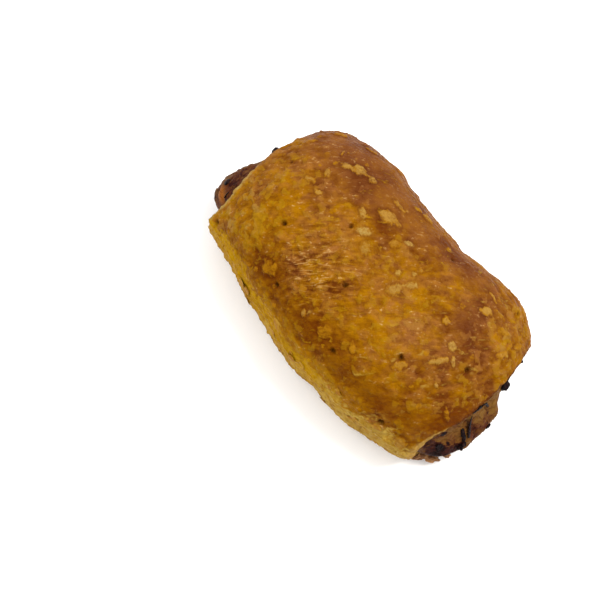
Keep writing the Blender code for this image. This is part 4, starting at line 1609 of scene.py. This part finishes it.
@dataclass(frozen=True)
class Bit:
    """A burnt lump at an edge: its middle and half sizes, in millimetres."""

    x: float
    y: float
    z: float
    half_x: float
    half_y: float
    half_z: float


BITS = (
    Bit(59.8, 12.1, 17.6, 1.8, 2.1, 1.7),
    Bit(56.3, 24.2, 13.4, 1.6, 1.1, 0.9),
    Bit(-61.8, 8.9, 22.3, 1.7, 2.1, 1.5),
    Bit(-65.4, -12.2, 19.5, 1.4, 1.5, 1.5),
)


@dataclass
class Bits:
    """Burnt lumps that stick out of the filling."""

    fineness: int = 3
    lumpiness: float = 0.45
    lump_rate: float = 1.3

    def build(self) -> bpy.types.Object:
        """Make the lumps as one piece."""
        shape = bmesh.new()
        for bit in BITS:
            made = bmesh.ops.create_icosphere(shape, subdivisions=self.fineness, radius=1.0)
            for vert in made["verts"]:
                place = vert.co * self.lump_rate + Vector((bit.x, bit.y, bit.z))
                lump = 1.0 + self.lumpiness * noise.noise(place)
                size = Vector((bit.half_x, bit.half_y, bit.half_z)) * MM
                middle = Vector((bit.x, bit.y, bit.z)) * MM + Vector(SHIFT)
                vert.co = middle + Vector(a * b for a, b in zip(vert.co * lump, size))
        item = closed_piece("burnt_bits", shape, CharFinish().material())
        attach(item, ROOT)
        return item


@dataclass(frozen=True)
class Lamp:
    """A square soft light: its place, side, power and colour."""

    name: str
    place: Triple
    size: float
    power: float
    tone: Colour


LAMPS = (
    Lamp("key", (0.25, 0.45, 0.85), 0.35, 10.0, (1.0, 0.985, 0.96)),
    Lamp("fill", (-0.55, -0.35, 0.70), 0.60, 3.2, (1.0, 0.99, 0.98)),
)


@dataclass
class Studio:
    """Floor, soft lights and the camera."""

    azimuth: float = -43.394
    elevation: float = 72.682
    roll: float = 2.103
    distance: float = 0.416
    aim: Triple = (-0.012504, -0.022535, 0.020)
    lens: float = 68.19
    sensor: float = 36.0
    nearest: float = 0.01
    sky: float = 1.10
    sky_colour: tuple[float, ...] = (1.0, 0.99, 0.975, 1.0)
    floor_white: float = 0.94
    floor_half: float = 1.5
    floor_drop: float = 0.0001
    floor_roughness: float = 0.9
    floor_gloss: float = 0.1

    def axes(self) -> tuple[Vector, Vector, Vector]:
        """The camera's right, up and backward directions."""
        a, e, r = (math.radians(v) for v in (self.azimuth, self.elevation, self.roll))
        back = Vector((math.cos(a) * math.cos(e), math.sin(a) * math.cos(e), math.sin(e)))
        right = Vector((-math.sin(a), math.cos(a), 0.0))
        up = right.cross(-back)
        return right * math.cos(r) + up * math.sin(r), up * math.cos(r) - right * math.sin(r), back

    def add_camera(self) -> None:
        """Place the camera."""
        right, up, back = self.axes()
        data = bpy.data.cameras.new("camera")
        data.lens = self.lens
        data.sensor_width = self.sensor
        data.clip_start = self.nearest
        camera = bpy.data.objects.new("camera", data)
        place = Vector(self.aim) + Vector(SHIFT) + back * self.distance
        columns = (*right, 0.0), (*up, 0.0), (*back, 0.0), (*place, 1.0)
        camera.matrix_world = Matrix(columns).transposed()
        bpy.context.scene.collection.objects.link(camera)
        bpy.context.scene.camera = camera

    def add_light(self, lamp: Lamp) -> None:
        """Hang a soft light that faces the roll."""
        data = bpy.data.lights.new(lamp.name, "AREA")
        data.size = lamp.size
        data.energy = lamp.power
        data.color = lamp.tone
        light = bpy.data.objects.new(lamp.name, data)
        light.location = lamp.place
        light.rotation_euler = (-Vector(lamp.place)).to_track_quat("-Z", "Y").to_euler()
        bpy.context.scene.collection.objects.link(light)

    def add_floor(self) -> None:
        """Lay a pale floor."""
        shape = bmesh.new()
        bmesh.ops.create_grid(shape, x_segments=8, y_segments=8, size=self.floor_half)
        bmesh.ops.translate(shape, verts=shape.verts, vec=(0.0, 0.0, -self.floor_drop))
        item = mesh_object("floor", shape, False)
        g = Graph("pale_floor")
        white = self.floor_white
        g.set("Base Color", g.mix(g.noise(g.place(), 0.4), (white,) * 3, (white - 0.01,) * 3))
        g.set("Roughness", self.floor_roughness)
        g.set("Specular IOR Level", self.floor_gloss)
        item.data.materials.append(g.material)

    def build(self) -> None:
        """Set up the whole studio."""
        scene = bpy.context.scene
        world = bpy.data.worlds.new("studio")
        world.use_nodes = True
        sky = world.node_tree.nodes["Background"]
        sky.inputs["Color"].default_value = self.sky_colour
        sky.inputs["Strength"].default_value = self.sky
        scene.world = world
        scene.view_settings.view_transform = "Standard"
        self.add_floor()
        for lamp in LAMPS:
            self.add_light(lamp)
        self.add_camera()


@dataclass
class Flakes:
    """Loose scales of pastry that lift at one edge."""

    crust: Crust
    count: int = 26
    segments: int = 18
    rings: int = 10
    along: Pair = (-0.95, 0.97)
    around: Pair = (156.0, 190.0)
    turns: Pair = (-0.6, 0.6)
    long_half: Pair = (0.0009, 0.0026)
    slimness: Pair = (0.4, 0.75)
    phases: Pair = (0.0, 50.0)
    raggedness: float = 0.35
    waviness: float = 0.12 * MM
    clearance: float = 0.05 * MM
    thickness: float = 0.00022
    lift: float = 0.00036
    seed: int = 5

    def places(self) -> list[Pair]:
        """Place and angle of each flake on the front flank, by a seeded draw."""
        draw = np.random.default_rng(self.seed)
        return [(draw.uniform(*self.along), draw.uniform(*self.around)) for _ in range(self.count)]

    def add_flake(
        self, shape: bmesh.types.BMesh, place: float, degrees: float, draw: np.random.Generator
    ) -> None:
        """Lay one curved, ragged scale on the skin.

        Args:
            shape: Mesh to add it to.
            place: Place along the roll.
            degrees: Angle round the roll.
            draw: Source of its size and turn.
        """
        s, d = np.array([place, place + 0.004, place]), np.array([degrees, degrees, degrees + 1.0])
        spots = self.crust.skin(s, d).points + SHIFT
        middle = Vector(spots[0])
        normal = Vector(self.crust.form.normal(s[:1], np.radians(d[:1]))[0])
        along = Vector(spots[1] - spots[0])
        along = (along - normal * along.dot(normal)).normalized()
        along = Matrix.Rotation(draw.uniform(*self.turns), 3, normal) @ along
        across = normal.cross(along)
        long_half = draw.uniform(*self.long_half)
        short_half = long_half * draw.uniform(*self.slimness)
        phase = draw.uniform(*self.phases)
        made = bmesh.ops.create_uvsphere(shape, u_segments=self.segments, v_segments=self.rings, radius=1.0)
        for vert in made["verts"]:
            x, y, z = vert.co
            ragged = 1.0 + self.raggedness * noise.noise(Vector((x * 1.6 + phase, y * 1.6, phase)))
            wave = self.waviness * noise.noise(Vector((x * 2.0, y * 2.0, phase)))
            rise = self.lift * max(x, 0.0) ** 2 + wave
            spot = along * (x * long_half * ragged) + across * (y * short_half * ragged)
            vert.co = middle + spot + normal * (z * self.thickness + rise + self.clearance)

    def build(self) -> bpy.types.Object:
        """Make all flakes as one piece."""
        draw = np.random.default_rng(self.seed + 1)
        shape = bmesh.new()
        for place, degrees in self.places():
            self.add_flake(shape, place, degrees, draw)
        item = closed_piece("loose_flakes", shape, FlakeFinish().material())
        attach(item, ROOT)
        return item


@dataclass(frozen=True)
class Crumb:
    """A crumb that lies against the near end: its middle and half sizes, in millimetres."""

    x: float
    y: float
    z: float
    long_half: float
    short_half: float
    half_z: float


CRUMBS = (
    Crumb(61.2, -22.9, 3.7, 2.5, 1.3, 1.9),
    Crumb(64.0, -18.7, 7.3, 1.3, 0.9, 1.5),
    Crumb(57.0, -26.2, 2.3, 2.4, 1.1, 1.6),
    Crumb(58.4, -23.6, 4.2, 2.6, 1.7, 1.7),
)


@dataclass
class Crumbs:
    """Fried crumbs of filling and pastry at the foot of the near end."""

    fineness: int = 4
    coarse: float = 0.5
    coarse_rate: float = 1.7
    fine: float = 0.2
    fine_rate: float = 5.0

    def build(self) -> bpy.types.Object:
        """Make all crumbs as one piece."""
        shape = bmesh.new()
        turn = Matrix.Rotation(GRAIN_TURN, 3, "Z")
        for crumb in CRUMBS:
            made = bmesh.ops.create_icosphere(shape, subdivisions=self.fineness, radius=1.0)
            middle = Vector((crumb.x, crumb.y, crumb.z))
            size = (crumb.long_half, crumb.short_half, crumb.half_z)
            for vert in made["verts"]:
                lump = 1.0 + self.coarse * noise.noise(vert.co * self.coarse_rate + middle)
                lump += self.fine * noise.noise(vert.co * self.fine_rate)
                spot = middle + turn @ Vector(a * b * lump for a, b in zip(vert.co, size))
                vert.co = spot * MM + Vector(SHIFT)
                vert.co.z = max(vert.co.z, 0.0)
        finish = FlakeFinish("fried_crumb", baked(226, 164, 104), baked(150, 98, 60))
        item = closed_piece("crumbs", shape, finish.material())
        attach(item, ROOT)
        return item


def report(items: Iterable[bpy.types.Object]) -> None:
    """Log the triangles of each piece."""
    for item in items:
        count = sum(len(face.vertices) - 2 for face in item.data.polygons)
        log.info("%s: %d triangles", item.name, count)


def main() -> None:
    """Build the roll and its studio."""
    meat = Meat()
    crust = Crust()
    pieces = [crust.build(), meat.build(), Strips(meat).build(), Bits().build()]
    pieces += [Flakes(crust).build(), Crumbs().build()]
    report(pieces)
    Studio().build()


if __name__ == "__main__":
    main()
